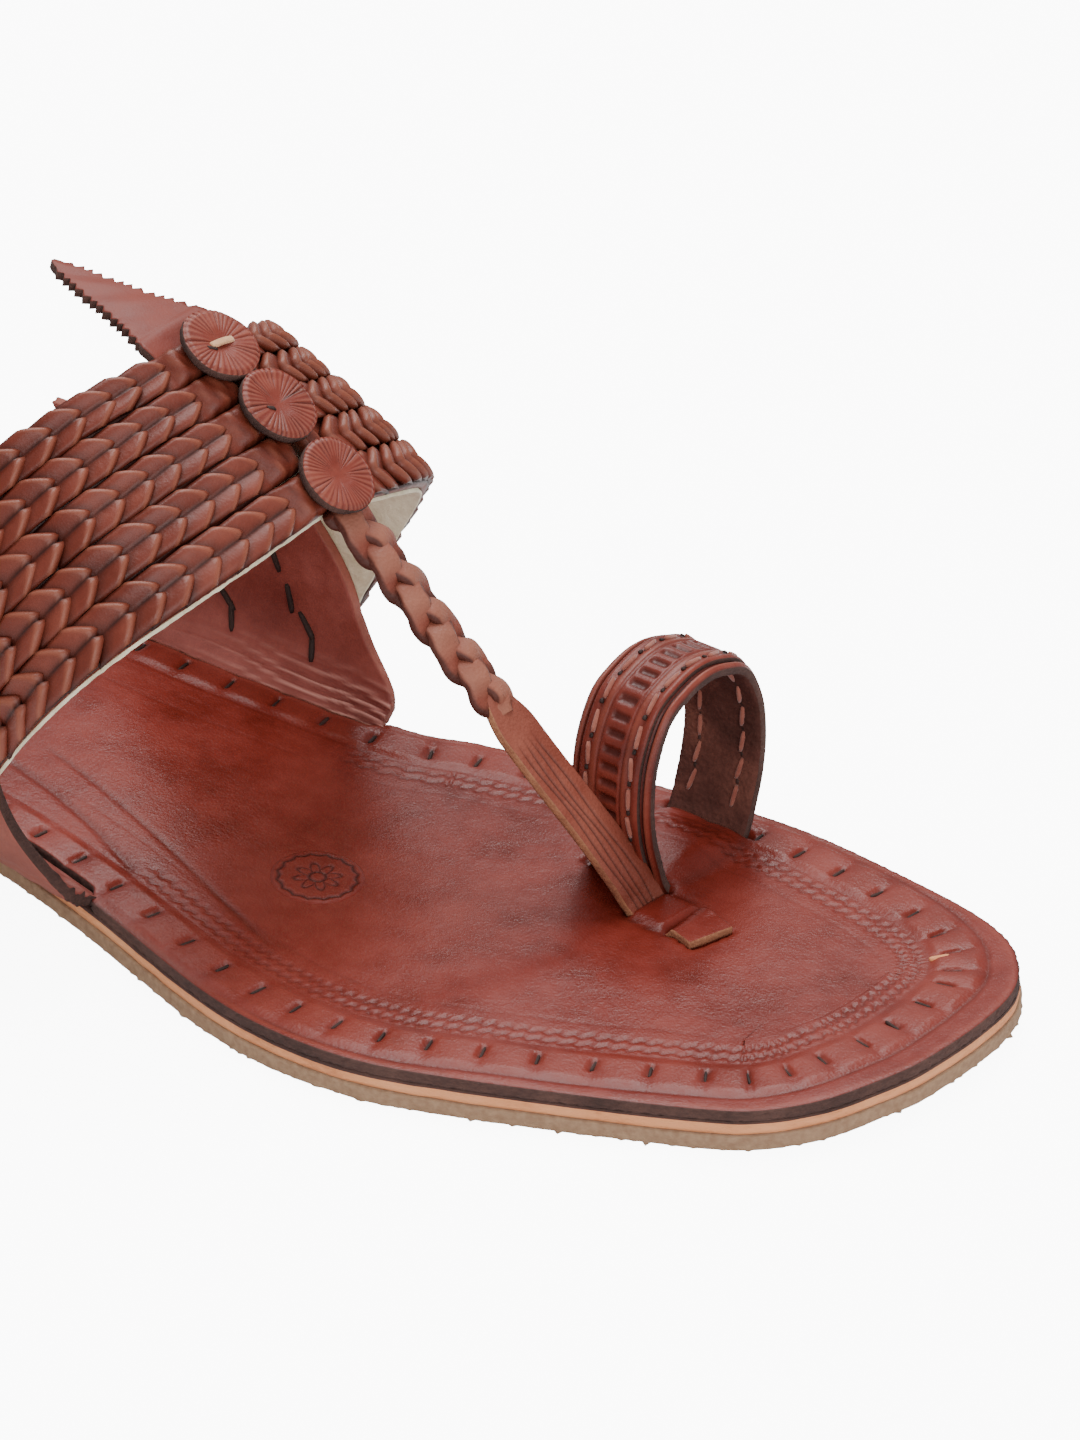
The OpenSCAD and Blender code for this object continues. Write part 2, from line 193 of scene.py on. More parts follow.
def rubber(name, base, dusty, roughness):
    """Crepe rubber: warm grey-brown, faintly speckled, with fine cut marks."""
    m = bpy.data.materials.new(name)
    m.use_nodes = True
    tree = m.node_tree
    nodes, links = tree.nodes, tree.links
    nodes.clear()
    colour_frame = nodes.new("NodeFrame")
    colour_frame.label = "colour"
    relief_frame = nodes.new("NodeFrame")
    relief_frame.label = "cut marks"
    place = nodes.new("ShaderNodeTexCoord")
    place.label = "place on the sole"
    place.location = (-1100, 0)
    speckle = nodes.new("ShaderNodeTexNoise")
    speckle.label = "speckle"
    speckle.location = (-800, 200)
    speckle.parent = colour_frame
    speckle.inputs["Scale"].default_value = 900
    speckle.inputs["Detail"].default_value = 6
    tone = nodes.new("ShaderNodeValToRGB")
    tone.label = "rubber to dust"
    tone.location = (-560, 200)
    tone.parent = colour_frame
    tone.color_ramp.elements[0].position = 0.3
    tone.color_ramp.elements[0].color = (*base, 1)
    tone.color_ramp.elements[1].position = 0.75
    tone.color_ramp.elements[1].color = (*dusty, 1)
    stretch = nodes.new("ShaderNodeMapping")
    stretch.label = "knife strokes lie flat"
    stretch.location = (-1000, -250)
    stretch.parent = relief_frame
    stretch.inputs["Scale"].default_value = (1, 1, 5)
    strokes = nodes.new("ShaderNodeTexNoise")
    strokes.label = "knife strokes"
    strokes.location = (-800, -250)
    strokes.parent = relief_frame
    strokes.inputs["Scale"].default_value = 700
    strokes.inputs["Detail"].default_value = 8
    strokes.inputs["Roughness"].default_value = 0.7
    relief = nodes.new("ShaderNodeBump")
    relief.label = "raise them"
    relief.location = (-300, -250)
    relief.parent = relief_frame
    relief.inputs["Strength"].default_value = 0.6
    relief.inputs["Distance"].default_value = 0.0003
    surface = nodes.new("ShaderNodeBsdfPrincipled")
    surface.label = "rubber"
    surface.location = (0, 0)
    surface.inputs["Roughness"].default_value = roughness
    out = nodes.new("ShaderNodeOutputMaterial")
    out.label = "surface"
    out.location = (300, 0)
    links.new(place.outputs["Object"], speckle.inputs["Vector"])
    links.new(speckle.outputs["Fac"], tone.inputs["Fac"])
    links.new(tone.outputs["Color"], surface.inputs["Base Color"])
    links.new(place.outputs["Object"], stretch.inputs["Vector"])
    links.new(stretch.outputs["Vector"], strokes.inputs["Vector"])
    links.new(strokes.outputs["Fac"], relief.inputs["Height"])
    links.new(relief.outputs["Normal"], surface.inputs["Normal"])
    links.new(surface.outputs["BSDF"], out.inputs["Surface"])
    return m


sole_rubber = rubber("sole_rubber", (0.276, 0.156, 0.091), (0.404, 0.251, 0.152), 0.85)
heel_rubber = rubber("heel_rubber", (0.197, 0.136, 0.099), (0.295, 0.224, 0.167), 0.85)

# Burrs: where the knife left the rubber, short ragged bits hang out at the lower edge.
burr = np.clip(ripple(edge_run, range(150, 420, 9), 3, 0.5), 0, 1) ** 2 * 1.2
edge_waver = ripple(edge_run, range(20, 90, 7), 8, 0.06)
rings_xy, rings_z = [], []
for t in np.linspace(1, 0, 13):
    rings_xy.append(to_midline(EDGE + EDGE_IN * 1.5, t))
    rings_z.append(rise(rings_xy[-1][:, 0]) + outsole_t)
for inward, drop, out_burr in ((0.15, 0, 0), (0.0, 0.25, 0), (0.05, 1.2, 0), (0.0, 2.0, 0.25),
                               (-0.05, 2.4, 0.8), (0.1, 2.62, 0.6), (0.6, 2.55, 0.0)):
    rings_xy.append(EDGE + EDGE_IN * (inward - out_burr * burr + edge_waver)[:, None])
    rings_z.append(np.maximum(rise(rings_xy[-1][:, 0]) + outsole_t - drop - 0.12 * burr * out_burr, 0.0))
for t in np.linspace(0, 1, 13):
    rings_xy.append(to_midline(EDGE + EDGE_IN * 1.0, t))
    rings_z.append(rise(rings_xy[-1][:, 0]))
outsole = layer_slab("outsole_rubber", rings_xy, rings_z, [sole_rubber], [0] * (len(rings_xy) - 1), None)
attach(outsole, "sandal")
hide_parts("outsole")

# The heel block: the outline cut off square at the breast, its wall a little ragged.
heel_line = EDGE + EDGE_IN * 1.2
heel_line = heel_line[heel_line[:, 0] < heel_front]
heel_line = evenly(heel_line, 160, False)[0]
breast = np.linspace(heel_line[-1], heel_line[0], 42)[1:-1]
heel_line = np.vstack([heel_line, breast])
middle = np.array([heel_front - 38, 3.0])
# Each ring of the block: its share of the way out from the middle, and of the way up.
heel_levels = [(0, 1), (0.5, 1), (0.95, 1), (1, 1), (1, 0.85), (0.995, 0.5), (1.003, 0.15), (0.997, 0.0),
               (0.9, 0), (0.5, 0), (0, 0)]
heel_points = []
for share, level in heel_levels:
    xy = middle + (heel_line - middle) * share
    heel_points.append(np.column_stack([xy, (rise(xy[:, 0]) - 0.02) * level]))
heel = to_mesh("heel_block_rubber", np.concatenate(heel_points),
               band_faces(len(heel_levels), len(heel_line), True), [heel_rubber])
weld(heel, 0.02)
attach(heel, "sandal")
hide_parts("heel_block")


# ---- Midsole ---------------------------------------------------------------------------
# One thickness of undyed vegetable-tanned leather, glued between rubber and top sole.  Its
# raw cut edge shows orange-tan, wavers in thickness and carries a little of the top's dye.

def cut_edge(name, dark_tone_and_painted_shade, base, pale, fibre, roughness):
    """The raw edge of cut leather: fibres lying along the layer, with stains."""
    m = bpy.data.materials.new(name)
    m.use_nodes = True
    tree = m.node_tree
    nodes, links = tree.nodes, tree.links
    nodes.clear()
    colour_frame = nodes.new("NodeFrame")
    colour_frame.label = "colour"
    relief_frame = nodes.new("NodeFrame")
    relief_frame.label = "fibres"
    place = nodes.new("ShaderNodeTexCoord")
    place.label = "place on the sole"
    place.location = (-1300, 0)
    flatten = nodes.new("ShaderNodeMapping")
    flatten.label = "fibres lie along the layer"
    flatten.location = (-1080, -250)
    flatten.parent = relief_frame
    flatten.inputs["Scale"].default_value = (1, 1, 3)
    fibres = nodes.new("ShaderNodeTexNoise")
    fibres.label = "fibres"
    fibres.location = (-860, -250)
    fibres.parent = relief_frame
    fibres.inputs["Scale"].default_value = fibre
    fibres.inputs["Detail"].default_value = 8
    fibres.inputs["Roughness"].default_value = 0.75
    stains = nodes.new("ShaderNodeTexNoise")
    stains.label = "stains"
    stains.location = (-860, 250)
    stains.parent = colour_frame
    stains.inputs["Scale"].default_value = 90
    stains.inputs["Detail"].default_value = 4
    blend = nodes.new("ShaderNodeMath")
    blend.label = "stains and fibres together"
    blend.location = (-640, 150)
    blend.parent = colour_frame
    blend.operation = "MULTIPLY_ADD"
    blend.inputs[1].default_value = 0.55
    half = nodes.new("ShaderNodeMath")
    half.label = "fibres count for half"
    half.location = (-640, -80)
    half.parent = colour_frame
    half.operation = "MULTIPLY"
    half.inputs[1].default_value = 0.45
    tone = nodes.new("ShaderNodeValToRGB")
    tone.label = "dark to pale"
    tone.location = (-420, 150)
    tone.parent = colour_frame
    ramp = tone.color_ramp
    ramp.elements[0].position = 0.32
    ramp.elements[0].color = (*dark_tone_and_painted_shade, 1)
    ramp.elements[1].position = 0.68
    ramp.elements[1].color = (*pale, 1)
    ramp.elements.new(0.48).color = (*base, 1)
    relief = nodes.new("ShaderNodeBump")
    relief.label = "raise the fibres"
    relief.location = (-300, -250)
    relief.parent = relief_frame
    relief.inputs["Strength"].default_value = 0.8
    relief.inputs["Distance"].default_value = 0.0004
    surface = nodes.new("ShaderNodeBsdfPrincipled")
    surface.label = "cut leather"
    surface.location = (0, 0)
    surface.inputs["Roughness"].default_value = roughness
    out = nodes.new("ShaderNodeOutputMaterial")
    out.label = "surface"
    out.location = (300, 0)
    links.new(place.outputs["Object"], flatten.inputs["Vector"])
    links.new(flatten.outputs["Vector"], fibres.inputs["Vector"])
    links.new(place.outputs["Object"], stains.inputs["Vector"])
    links.new(fibres.outputs["Fac"], half.inputs[0])
    links.new(stains.outputs["Fac"], blend.inputs[0])
    links.new(half.outputs["Value"], blend.inputs[2])
    links.new(blend.outputs["Value"], tone.inputs["Fac"])
    links.new(tone.outputs["Color"], surface.inputs["Base Color"])
    links.new(fibres.outputs["Fac"], relief.inputs["Height"])
    links.new(relief.outputs["Normal"], surface.inputs["Normal"])
    links.new(surface.outputs["BSDF"], out.inputs["Surface"])
    return m


dyed_edge = cut_edge("dyed_edge", (0.028, 0.012, 0.009), (0.065, 0.028, 0.022), (0.124, 0.057, 0.043), 700, 0.9)
natural_edge = cut_edge("natural_edge", (0.567, 0.190, 0.076), (0.794, 0.319, 0.138), (0.885, 0.397, 0.187),
                        500, 0.75)

midsole_waver = ripple(edge_run, range(2, 15), 11, 0.12)
rings_xy, rings_z = [], []
for t in np.linspace(1, 0, 9):
    rings_xy.append(to_midline(EDGE + EDGE_IN * 2.0, t))
    rings_z.append(rise(rings_xy[-1][:, 0]) + outsole_t + midsole_t)
for inward, share in ((0.8, 1.0), (0.45, 0.97), (0.38, 0.8), (0.5, 0.72), (0.36, 0.64), (0.34, 0.3),
                      (0.45, 0.05), (1.0, 0.0)):
    rings_xy.append(EDGE + EDGE_IN * (inward + ripple(edge_run, range(30, 120, 11), 5, 0.05))[:, None])
    rings_z.append(rise(rings_xy[-1][:, 0]) + outsole_t + midsole_t * share
                   + midsole_waver * (share > 0.5) * (share < 1))
for t in np.linspace(0, 1, 9):
    rings_xy.append(to_midline(EDGE + EDGE_IN * 2.0, t))
    rings_z.append(rise(rings_xy[-1][:, 0]) + outsole_t)
midsole = layer_slab("midsole_leather", rings_xy, rings_z, [natural_edge, dyed_edge],
                     [1] * 11 + [0] * (len(rings_xy) - 12), None)
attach(midsole, "sandal")
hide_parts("midsole")


# ---- Top sole ----------------------------------------------------------------------------
# Thick oak-bark leather dyed red-brown and burnished.  A row of slits round it takes the
# lace that holds the layers; the leather puffs up between them, with tooled zigzags inside.

def leather(name, dark, base, pale, grain_size, grain_depth, crease_depth, roughness, coat, fleck, shine=0.27):
    """Dyed leather: mottled dye, pebbled grain, fine creases, painted shade in its folds and grooves, painted
    highlights on its raised places.
    """
    m = bpy.data.materials.new(name)
    m.use_nodes = True
    tree = m.node_tree
    nodes, links = tree.nodes, tree.links
    nodes.clear()
    dye_frame = nodes.new("NodeFrame")
    dye_frame.label = "dye"
    # This frame holds the painted shade, the painted highlights and the rare chips in the dye.
    shade_highlight_and_chip_frame = nodes.new("NodeFrame")
    shade_highlight_and_chip_frame.label = "painted shade, painted highlights and chipped dye"
    grain_frame = nodes.new("NodeFrame")
    grain_frame.label = "grain and creases"
    gloss_frame = nodes.new("NodeFrame")
    gloss_frame.label = "burnish"
    place = nodes.new("ShaderNodeTexCoord")
    place.label = "place on the piece"
    place.location = (-1700, 0)
    mottle = nodes.new("ShaderNodeTexNoise")
    mottle.label = "uneven dye"
    mottle.location = (-1400, 400)
    mottle.parent = dye_frame
    mottle.inputs["Scale"].default_value = 75
    mottle.inputs["Detail"].default_value = 7
    mottle.inputs["Roughness"].default_value = 0.62
    tone = nodes.new("ShaderNodeValToRGB")
    tone.label = "dark to pale dye"
    tone.location = (-1160, 400)
    tone.parent = dye_frame
    ramp = tone.color_ramp
    ramp.elements[0].position = 0.28
    ramp.elements[0].color = (*dark, 1)
    ramp.elements[1].position = 0.74
    ramp.elements[1].color = (*pale, 1)
    ramp.elements.new(0.5).color = (*base, 1)
    pores = nodes.new("ShaderNodeTexVoronoi")
    pores.label = "pebbled grain"
    pores.location = (-1400, -250)
    pores.parent = grain_frame
    pores.inputs["Scale"].default_value = 1000 / grain_size
    pores.inputs["Randomness"].default_value = 0.95
    creases = nodes.new("ShaderNodeTexNoise")
    creases.label = "creases"
    creases.location = (-1400, -550)
    creases.parent = grain_frame
    creases.inputs["Scale"].default_value = 260
    creases.inputs["Detail"].default_value = 9
    creases.inputs["Roughness"].default_value = 0.68
    creases.inputs["Distortion"].default_value = 0.6
    flecks = nodes.new("ShaderNodeTexNoise")
    flecks.label = "where dye has chipped"
    flecks.location = (-1400, 720)
    flecks.parent = shade_highlight_and_chip_frame
    flecks.inputs["Scale"].default_value = 210
    flecks.inputs["Detail"].default_value = 2
    chips = nodes.new("ShaderNodeMapRange")
    chips.label = "only the rarest"
    chips.location = (-1160, 720)
    chips.parent = shade_highlight_and_chip_frame
    chips.inputs["From Min"].default_value = fleck
    chips.inputs["From Max"].default_value = fleck + 0.02
    # Painted shade: an attribute of each piece darkens its dye in folds, grooves, cuts and under overlaps.
    folds = nodes.new("ShaderNodeAttribute")
    folds.label = "folds of this piece"
    folds.location = (-1160, 150)
    folds.parent = shade_highlight_and_chip_frame
    folds.attribute_name = "dark_tone_and_painted_shade"
    # Painted highlight: a second attribute pales the dye on raised crests and edges.
    painted_highlights = nodes.new("ShaderNodeAttribute")
    painted_highlights.label = "painted highlights of this piece"
    painted_highlights.location = (-1160, -60)
    painted_highlights.parent = shade_highlight_and_chip_frame
    painted_highlights.attribute_name = "painted_highlight"
    darken = nodes.new("ShaderNodeMix")
    darken.label = "painted shade in the folds"
    darken.location = (-860, 300)
    darken.parent = shade_highlight_and_chip_frame
    darken.data_type = "RGBA"
    darken.inputs[7].default_value = (dark[0] * 0.30, dark[1] * 0.34, dark[2] * 0.4, 1)
    lighten = nodes.new("ShaderNodeMix")
    lighten.label = "painted highlight on raised places"
    lighten.location = (-640, 300)
    lighten.parent = shade_highlight_and_chip_frame
    lighten.data_type = "RGBA"
    lighten.inputs[7].default_value = (min(1, pale[0] * 1.5), pale[1] * 2.4, pale[2] * 2.5, 1)
    chip = nodes.new("ShaderNodeMix")
    chip.label = "bare leather in the chips"
    chip.location = (-420, 300)
    chip.parent = shade_highlight_and_chip_frame
    chip.data_type = "RGBA"
    chip.inputs[7].default_value = (0.72, 0.42, 0.26, 1)
    gloss = nodes.new("ShaderNodeMapRange")
    gloss.label = "burnish varies"
    gloss.location = (-640, 0)
    gloss.parent = gloss_frame
    gloss.inputs["From Min"].default_value = 0.3
    gloss.inputs["From Max"].default_value = 0.7
    gloss.inputs["To Min"].default_value = max(0.05, roughness - 0.08)
    gloss.inputs["To Max"].default_value = min(1, roughness + 0.1)
    grain = nodes.new("ShaderNodeBump")
    grain.label = "raise the grain"
    grain.location = (-860, -250)
    grain.parent = grain_frame
    grain.inputs["Strength"].default_value = grain_depth
    grain.inputs["Distance"].default_value = 0.0002
    wrinkle = nodes.new("ShaderNodeBump")
    wrinkle.label = "and the creases"
    wrinkle.location = (-640, -400)
    wrinkle.parent = grain_frame
    wrinkle.inputs["Strength"].default_value = crease_depth
    wrinkle.inputs["Distance"].default_value = 0.0006
    surface = nodes.new("ShaderNodeBsdfPrincipled")
    surface.label = "leather"
    surface.location = (-120, 0)
    surface.inputs["Specular IOR Level"].default_value = shine
    surface.inputs["Coat Weight"].default_value = coat
    surface.inputs["Coat Roughness"].default_value = 0.35
    out = nodes.new("ShaderNodeOutputMaterial")
    out.label = "surface"
    out.location = (200, 0)
    for texture in (mottle, pores, creases, flecks):
        links.new(place.outputs["Object"], texture.inputs["Vector"])
    links.new(mottle.outputs["Fac"], tone.inputs["Fac"])
    links.new(tone.outputs["Color"], darken.inputs[6])
    links.new(folds.outputs["Fac"], darken.inputs[0])
    links.new(darken.outputs[2], lighten.inputs[6])
    links.new(painted_highlights.outputs["Fac"], lighten.inputs[0])
    links.new(lighten.outputs[2], chip.inputs[6])
    links.new(flecks.outputs["Fac"], chips.inputs["Value"])
    links.new(chips.outputs["Result"], chip.inputs[0])
    links.new(chip.outputs[2], surface.inputs["Base Color"])
    links.new(mottle.outputs["Fac"], gloss.inputs["Value"])
    links.new(gloss.outputs["Result"], surface.inputs["Roughness"])
    links.new(pores.outputs["Distance"], grain.inputs["Height"])
    links.new(creases.outputs["Fac"], wrinkle.inputs["Height"])
    links.new(grain.outputs["Normal"], wrinkle.inputs["Normal"])
    links.new(wrinkle.outputs["Normal"], surface.inputs["Normal"])
    links.new(surface.outputs["BSDF"], out.inputs["Surface"])
    return m


sole_leather = leather("sole_leather", (0.111, 0.011, 0.006), (0.178, 0.021, 0.013), (0.231, 0.035, 0.023),
                       0.55, 0.16, 0.24, 0.33, 0.0, 0.92, 0.24)

slit_count = 69
slit_pitch = perimeter / slit_count
slit_run = (edge_run / slit_pitch) % 1
from_slit = (slit_run - np.round(slit_run)) * slit_pitch
inner_side = np.arange(len(EDGE)) >= HALF
# How far in from the edge the lacing runs: widest round the toe, closer at the waist.
at_x = [-130, -100, -40, 20, 60, 100, 122, 130]
row_in = np.where(inner_side, np.interp(EDGE[:, 0], at_x, [8.5, 6.5, 6, 6.2, 6.4, 7.5, 10.5, 11.5]),
                  np.interp(EDGE[:, 0], at_x, [8.5, 6.5, 6, 7, 8.5, 9.5, 10.5, 11.5]))
row_in = np.convolve(np.concatenate([row_in[-20:], row_in, row_in[:20]]), np.ones(41) / 41, "valid")

# Where an ear turns up there is no cut edge: the layer runs on into the ear.
ear_reach = {"outer": (-54.0, -4.0), "inner": (-48.0, 2.0)}
ear_set = 2.5
in_ear = np.zeros(len(EDGE))
for side, (rear, front) in ear_reach.items():
    here = (inner_side if side == "inner" else ~inner_side) & (EDGE[:, 0] < 60)
    in_ear += here * ease((EDGE[:, 0] - rear) / 3) * ease((front - EDGE[:, 0]) / 3)
edge_in = 0.6 + 2.6 * in_ear

ring_centre = np.array([60.0, 33.8])
ring_turn = math.radians(-5)
thong_down = np.array([66.2, 17.2])
thong_up = np.array([74.4, 16.1])
tab_end = np.array([81.4, 13.8])


def line_mark(distance, width):
    return np.exp(-(distance / width) ** 2)


def across_line(x, y, a, b):
    """Distance from the line a-b, and how far along it from 0 at a to 1 at b."""
    d = b - a
    along = ((x - a[0]) * d[0] + (y - a[1]) * d[1]) / (d @ d)
    away = ((x - a[0]) * d[1] - (y - a[1]) * d[0]) / np.linalg.norm(d)
    return away, along


def tooling(d):
    """Height of the top's tooling, the painted shade in its lines and slits, and a painted highlight on its
    pads, for rings d in from the edge.
    """
    window = ease((d - row_in + 5.2) / 1.6) * ease((row_in + 3.6 - d) / 1.6)
    pads = 0.42 * window * np.abs(np.sin(math.pi * slit_run)) ** 0.45
    slit = line_mark(from_slit, 0.42) * ease((d - row_in + 2.0) / 0.8) * ease((row_in + 1.8 - d) / 0.8)
    outer_line = line_mark(d - row_in + 5.6, 0.35)
    inner_line = line_mark(d - row_in - 4.0, 0.3) * 0.6
    fades = 1 - 0.85 * in_ear
    zig = np.abs(((edge_run / 2.7) % 1) - 0.5) * 2
    teeth = sum(line_mark(d - row_in - gap - 1.3 * zig, 0.34) for gap in (4.9, 7.3)) * fades
    fine = line_mark(d - row_in - 11.5, 0.25) * 0.5
    height = pads - 0.75 * slit - 0.22 * outer_line - 0.16 * inner_line - 0.34 * teeth - 0.12 * fine
    # Painted shade in the lace slits and in the tooled lines and zigzags; the third value is a painted
    # highlight on each pad's crest.
    dark = 0.85 * slit + 0.42 * outer_line + 0.25 * inner_line + 0.38 * teeth + 0.3 * fine
    return height, dark, 0.12 * window * np.abs(np.sin(math.pi * slit_run))


def furniture(x, y):
    """Shape of the top around the ring and the thong: the hump, the pocket and the slits, with painted shade in
    them and in the creases.
    """
    cos_turn, sin_turn = math.cos(ring_turn), math.sin(ring_turn)
    lx = (x - ring_centre[0]) * cos_turn + (y - ring_centre[1]) * sin_turn
    ly = -(x - ring_centre[0]) * sin_turn + (y - ring_centre[1]) * cos_turn
    hump = 2.7 * np.clip(1 - (ly / 10.5) ** 2, 0, 1) ** 0.8 * ease((11.5 - np.abs(lx)) / 7)
    feet = sum(line_mark(ly - s * 10.9, 0.9) * ease((9.2 - np.abs(lx)) / 1.2) for s in (-1, 1))
    away, along = across_line(x, y, thong_down, thong_up)
    pocket = 0.75 * ease((5.0 - np.abs(away)) / 1.3) * ease((along + 0.10) / 0.2) * ease((1.02 - along) / 0.22)
    rim = line_mark(np.abs(away) - 5.2, 0.5) * ease((along + 0.15) / 0.2) * ease((1.15 - along) / 0.2)
    first = line_mark((along + 0.02) * 8.3, 0.8) * ease((4.9 - np.abs(away)) / 0.6)
    second = line_mark((along - 1.03) * 8.3, 0.7) * ease((4.7 - np.abs(away)) / 0.6)
    tab_away, tab_along = across_line(x, y, thong_up, tab_end)
    seat = (ease((4.3 - np.abs(tab_away)) / 0.5) * ease((tab_along + 0.05) / 0.1)
            * ease((1.04 - tab_along) / 0.06))
    height = hump + pocket - 1.5 * feet - 0.25 * rim - 1.5 * first - 1.4 * second - 0.8 * seat
    # Painted shade in the ring's slits, the thong slits, round the pocket rim, at the foot of the hump and in
    # the creases.
    dark = (0.9 * feet + 0.5 * rim + 0.95 * first + 0.9 * second
            + 0.25 * line_mark(hump - 0.5, 0.3) * (hump > 0.05))
    creases = [((-40.0, -12.0), (-2.0, -25.0), 0.5, 0.5), ((-38.0, -4.5), (26.0, -27.0), 0.28, 0.35)]
    for a, b, depth, width in creases:
        c_away, c_along = across_line(x, y, np.array(a), np.array(b))
        c_away = c_away + 1.6 * np.sin(math.pi * np.clip(c_along, 0, 1))
        mark = line_mark(c_away, width * 1.6) * ease(c_along / 0.1) * ease((1 - c_along) / 0.1)
        height = height - depth * 0.55 * mark
        dark = dark + 0.4 * mark
    return height, np.clip(dark, 0, 1)


def undulation(x, y):
    return 0.10 * np.sin(x / 11.0 + 0.6) * np.sin(y / 9.0) + 0.07 * np.sin(x / 5.3 + y / 6.1)


rings_xy, rings_z, kinds, dark_tone_and_painted_shade, painted_highlight = [], [], [], [], []
far_in = 21.0
for t in np.linspace(1, 0, 27)[:-1]:
    xy = to_midline(EDGE + EDGE_IN * far_in, t)
    height, dark = furniture(xy[:, 0], xy[:, 1])
    ring_d = far_in + 40 * t
    h2, dark2, pale = tooling(ring_d)
    rings_xy.append(xy)
    rings_z.append(rise(xy[:, 0]) + sole_top + height + h2 + undulation(*xy.T))
    dark_tone_and_painted_shade.append(np.clip(dark + dark2, 0, 1))
    painted_highlight.append(pale)
    kinds.append(0)
for d in np.concatenate([np.arange(far_in, 1.2, -0.44), [0.8, 0.4, 0.12]]):
    inset = d + edge_in * np.clip(1 - d / 12, 0, 1)
    xy = EDGE + EDGE_IN * inset[:, None]
    height, dark = furniture(xy[:, 0], xy[:, 1])
    h2, dark2, pale = tooling(inset)
    shoulder = -0.12 * (1 - np.clip(d / 0.9, 0, 1)) ** 2
    settle = ease(inset / 3)
    rings_xy.append(xy)
    rings_z.append(rise(xy[:, 0]) + sole_top + (height + h2) * settle + undulation(*xy.T) * settle + shoulder)
    # Painted shade along the very edge of the top, and a painted highlight on the shoulder about a millimetre
    # in.
    dark_tone_and_painted_shade.append(np.clip(dark + dark2 + 0.35 * (1 - np.clip(d / 0.6, 0, 1)), 0, 1))
    painted_highlight.append(pale + 0.3 * line_mark(d - 1.0, 0.5))
    kinds.append(0)
kinds[-1] = 1
for depth in (0.24, 0.55, 0.95, 1.4, 1.85):
    rough = ripple(edge_run, range(120, 470, 13), int(depth * 100), 0.10)
    rings_xy.append(EDGE + EDGE_IN * (edge_in - 0.08 + rough)[:, None])
    rings_z.append(rise(rings_xy[-1][:, 0]) + sole_top - depth)
    dark_tone_and_painted_shade.append(np.zeros(len(EDGE)))
    painted_highlight.append(np.zeros(len(EDGE)))
    kinds.append(1)
for t in np.linspace(0, 1, 7):
    rings_xy.append(to_midline(EDGE + EDGE_IN * 2.5, t))
    rings_z.append(rise(rings_xy[-1][:, 0]) + sole_top - topsole_t + 0.01)
    dark_tone_and_painted_shade.append(np.zeros(len(EDGE)))
    painted_highlight.append(np.zeros(len(EDGE)))
    kinds.append(1)
top_sole = layer_slab("top_sole_leather", rings_xy, rings_z, [sole_leather, dyed_edge], kinds[:-1],
                      {"dark_tone_and_painted_shade": np.concatenate(dark_tone_and_painted_shade), "painted_highlight": np.concatenate(painted_highlight)})
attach(top_sole, "sandal")
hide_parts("top_sole")

# A round scalloped stamp at the waist of the sole: a thin raised patch of the same leather,
# with a rosette of eight petals pressed into it.
stamp_at = np.array([19.0, -6.0])
stamp_r, stamp_lift, stamp_depth = 6.6, 0.30, 0.24
turn_steps = 160
angles = np.arange(turn_steps) * 2 * math.pi / turn_steps
points, dark_tone_and_painted_shade = [], []
for r in np.concatenate([[0.0], np.linspace(0.35, stamp_r + 1.0, 34)]):
    xy = stamp_at + r * np.stack([np.cos(angles), np.sin(angles)], 1)
    scallop = line_mark(r - stamp_r + 0.45 * np.abs(np.sin(8 * angles)), 0.3)
    petals = line_mark(np.abs(np.cos(4 * angles)) * 1.9 - (r - 1.7) * 0.9 + (r > 4.6) * 9, 0.34) * (r > 1.6)
    eye = line_mark(r - 1.35, 0.28)
    mark = np.clip(scallop + 0.8 * petals + eye, 0, 1)
    fade = ease((stamp_r + 1.0 - r) / 0.6)
    height = rise(xy[:, 0]) + sole_top + undulation(*xy.T) + stamp_lift * fade - 0.02 - stamp_depth * mark
    points.append(np.column_stack([xy, height]))
    # Painted shade in the pressed scallops, petals and eye.
    dark_tone_and_painted_shade.append(0.9 * mark)
points.append(points[-1] - [0, 0, 0.4])
dark_tone_and_painted_shade.append(dark_tone_and_painted_shade[-1])
points.append(np.tile(points[-1].mean(0), (turn_steps, 1)))
dark_tone_and_painted_shade.append(dark_tone_and_painted_shade[-1])
stamp = to_mesh("rosette_stamp", np.concatenate(points), band_faces(len(points), turn_steps, True),
                [sole_leather],
                values={"dark_tone_and_painted_shade": np.concatenate(dark_tone_and_painted_shade), "painted_highlight": np.zeros(len(points) * turn_steps)})
weld(stamp, 0.01)
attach(stamp, "sandal")


# ---- Sole lacing -----------------------------------------------------------------------------
# A flat dark leather lace sewn in and out of the slits round the sole; only the short bars
# that sink into each slit show on top.

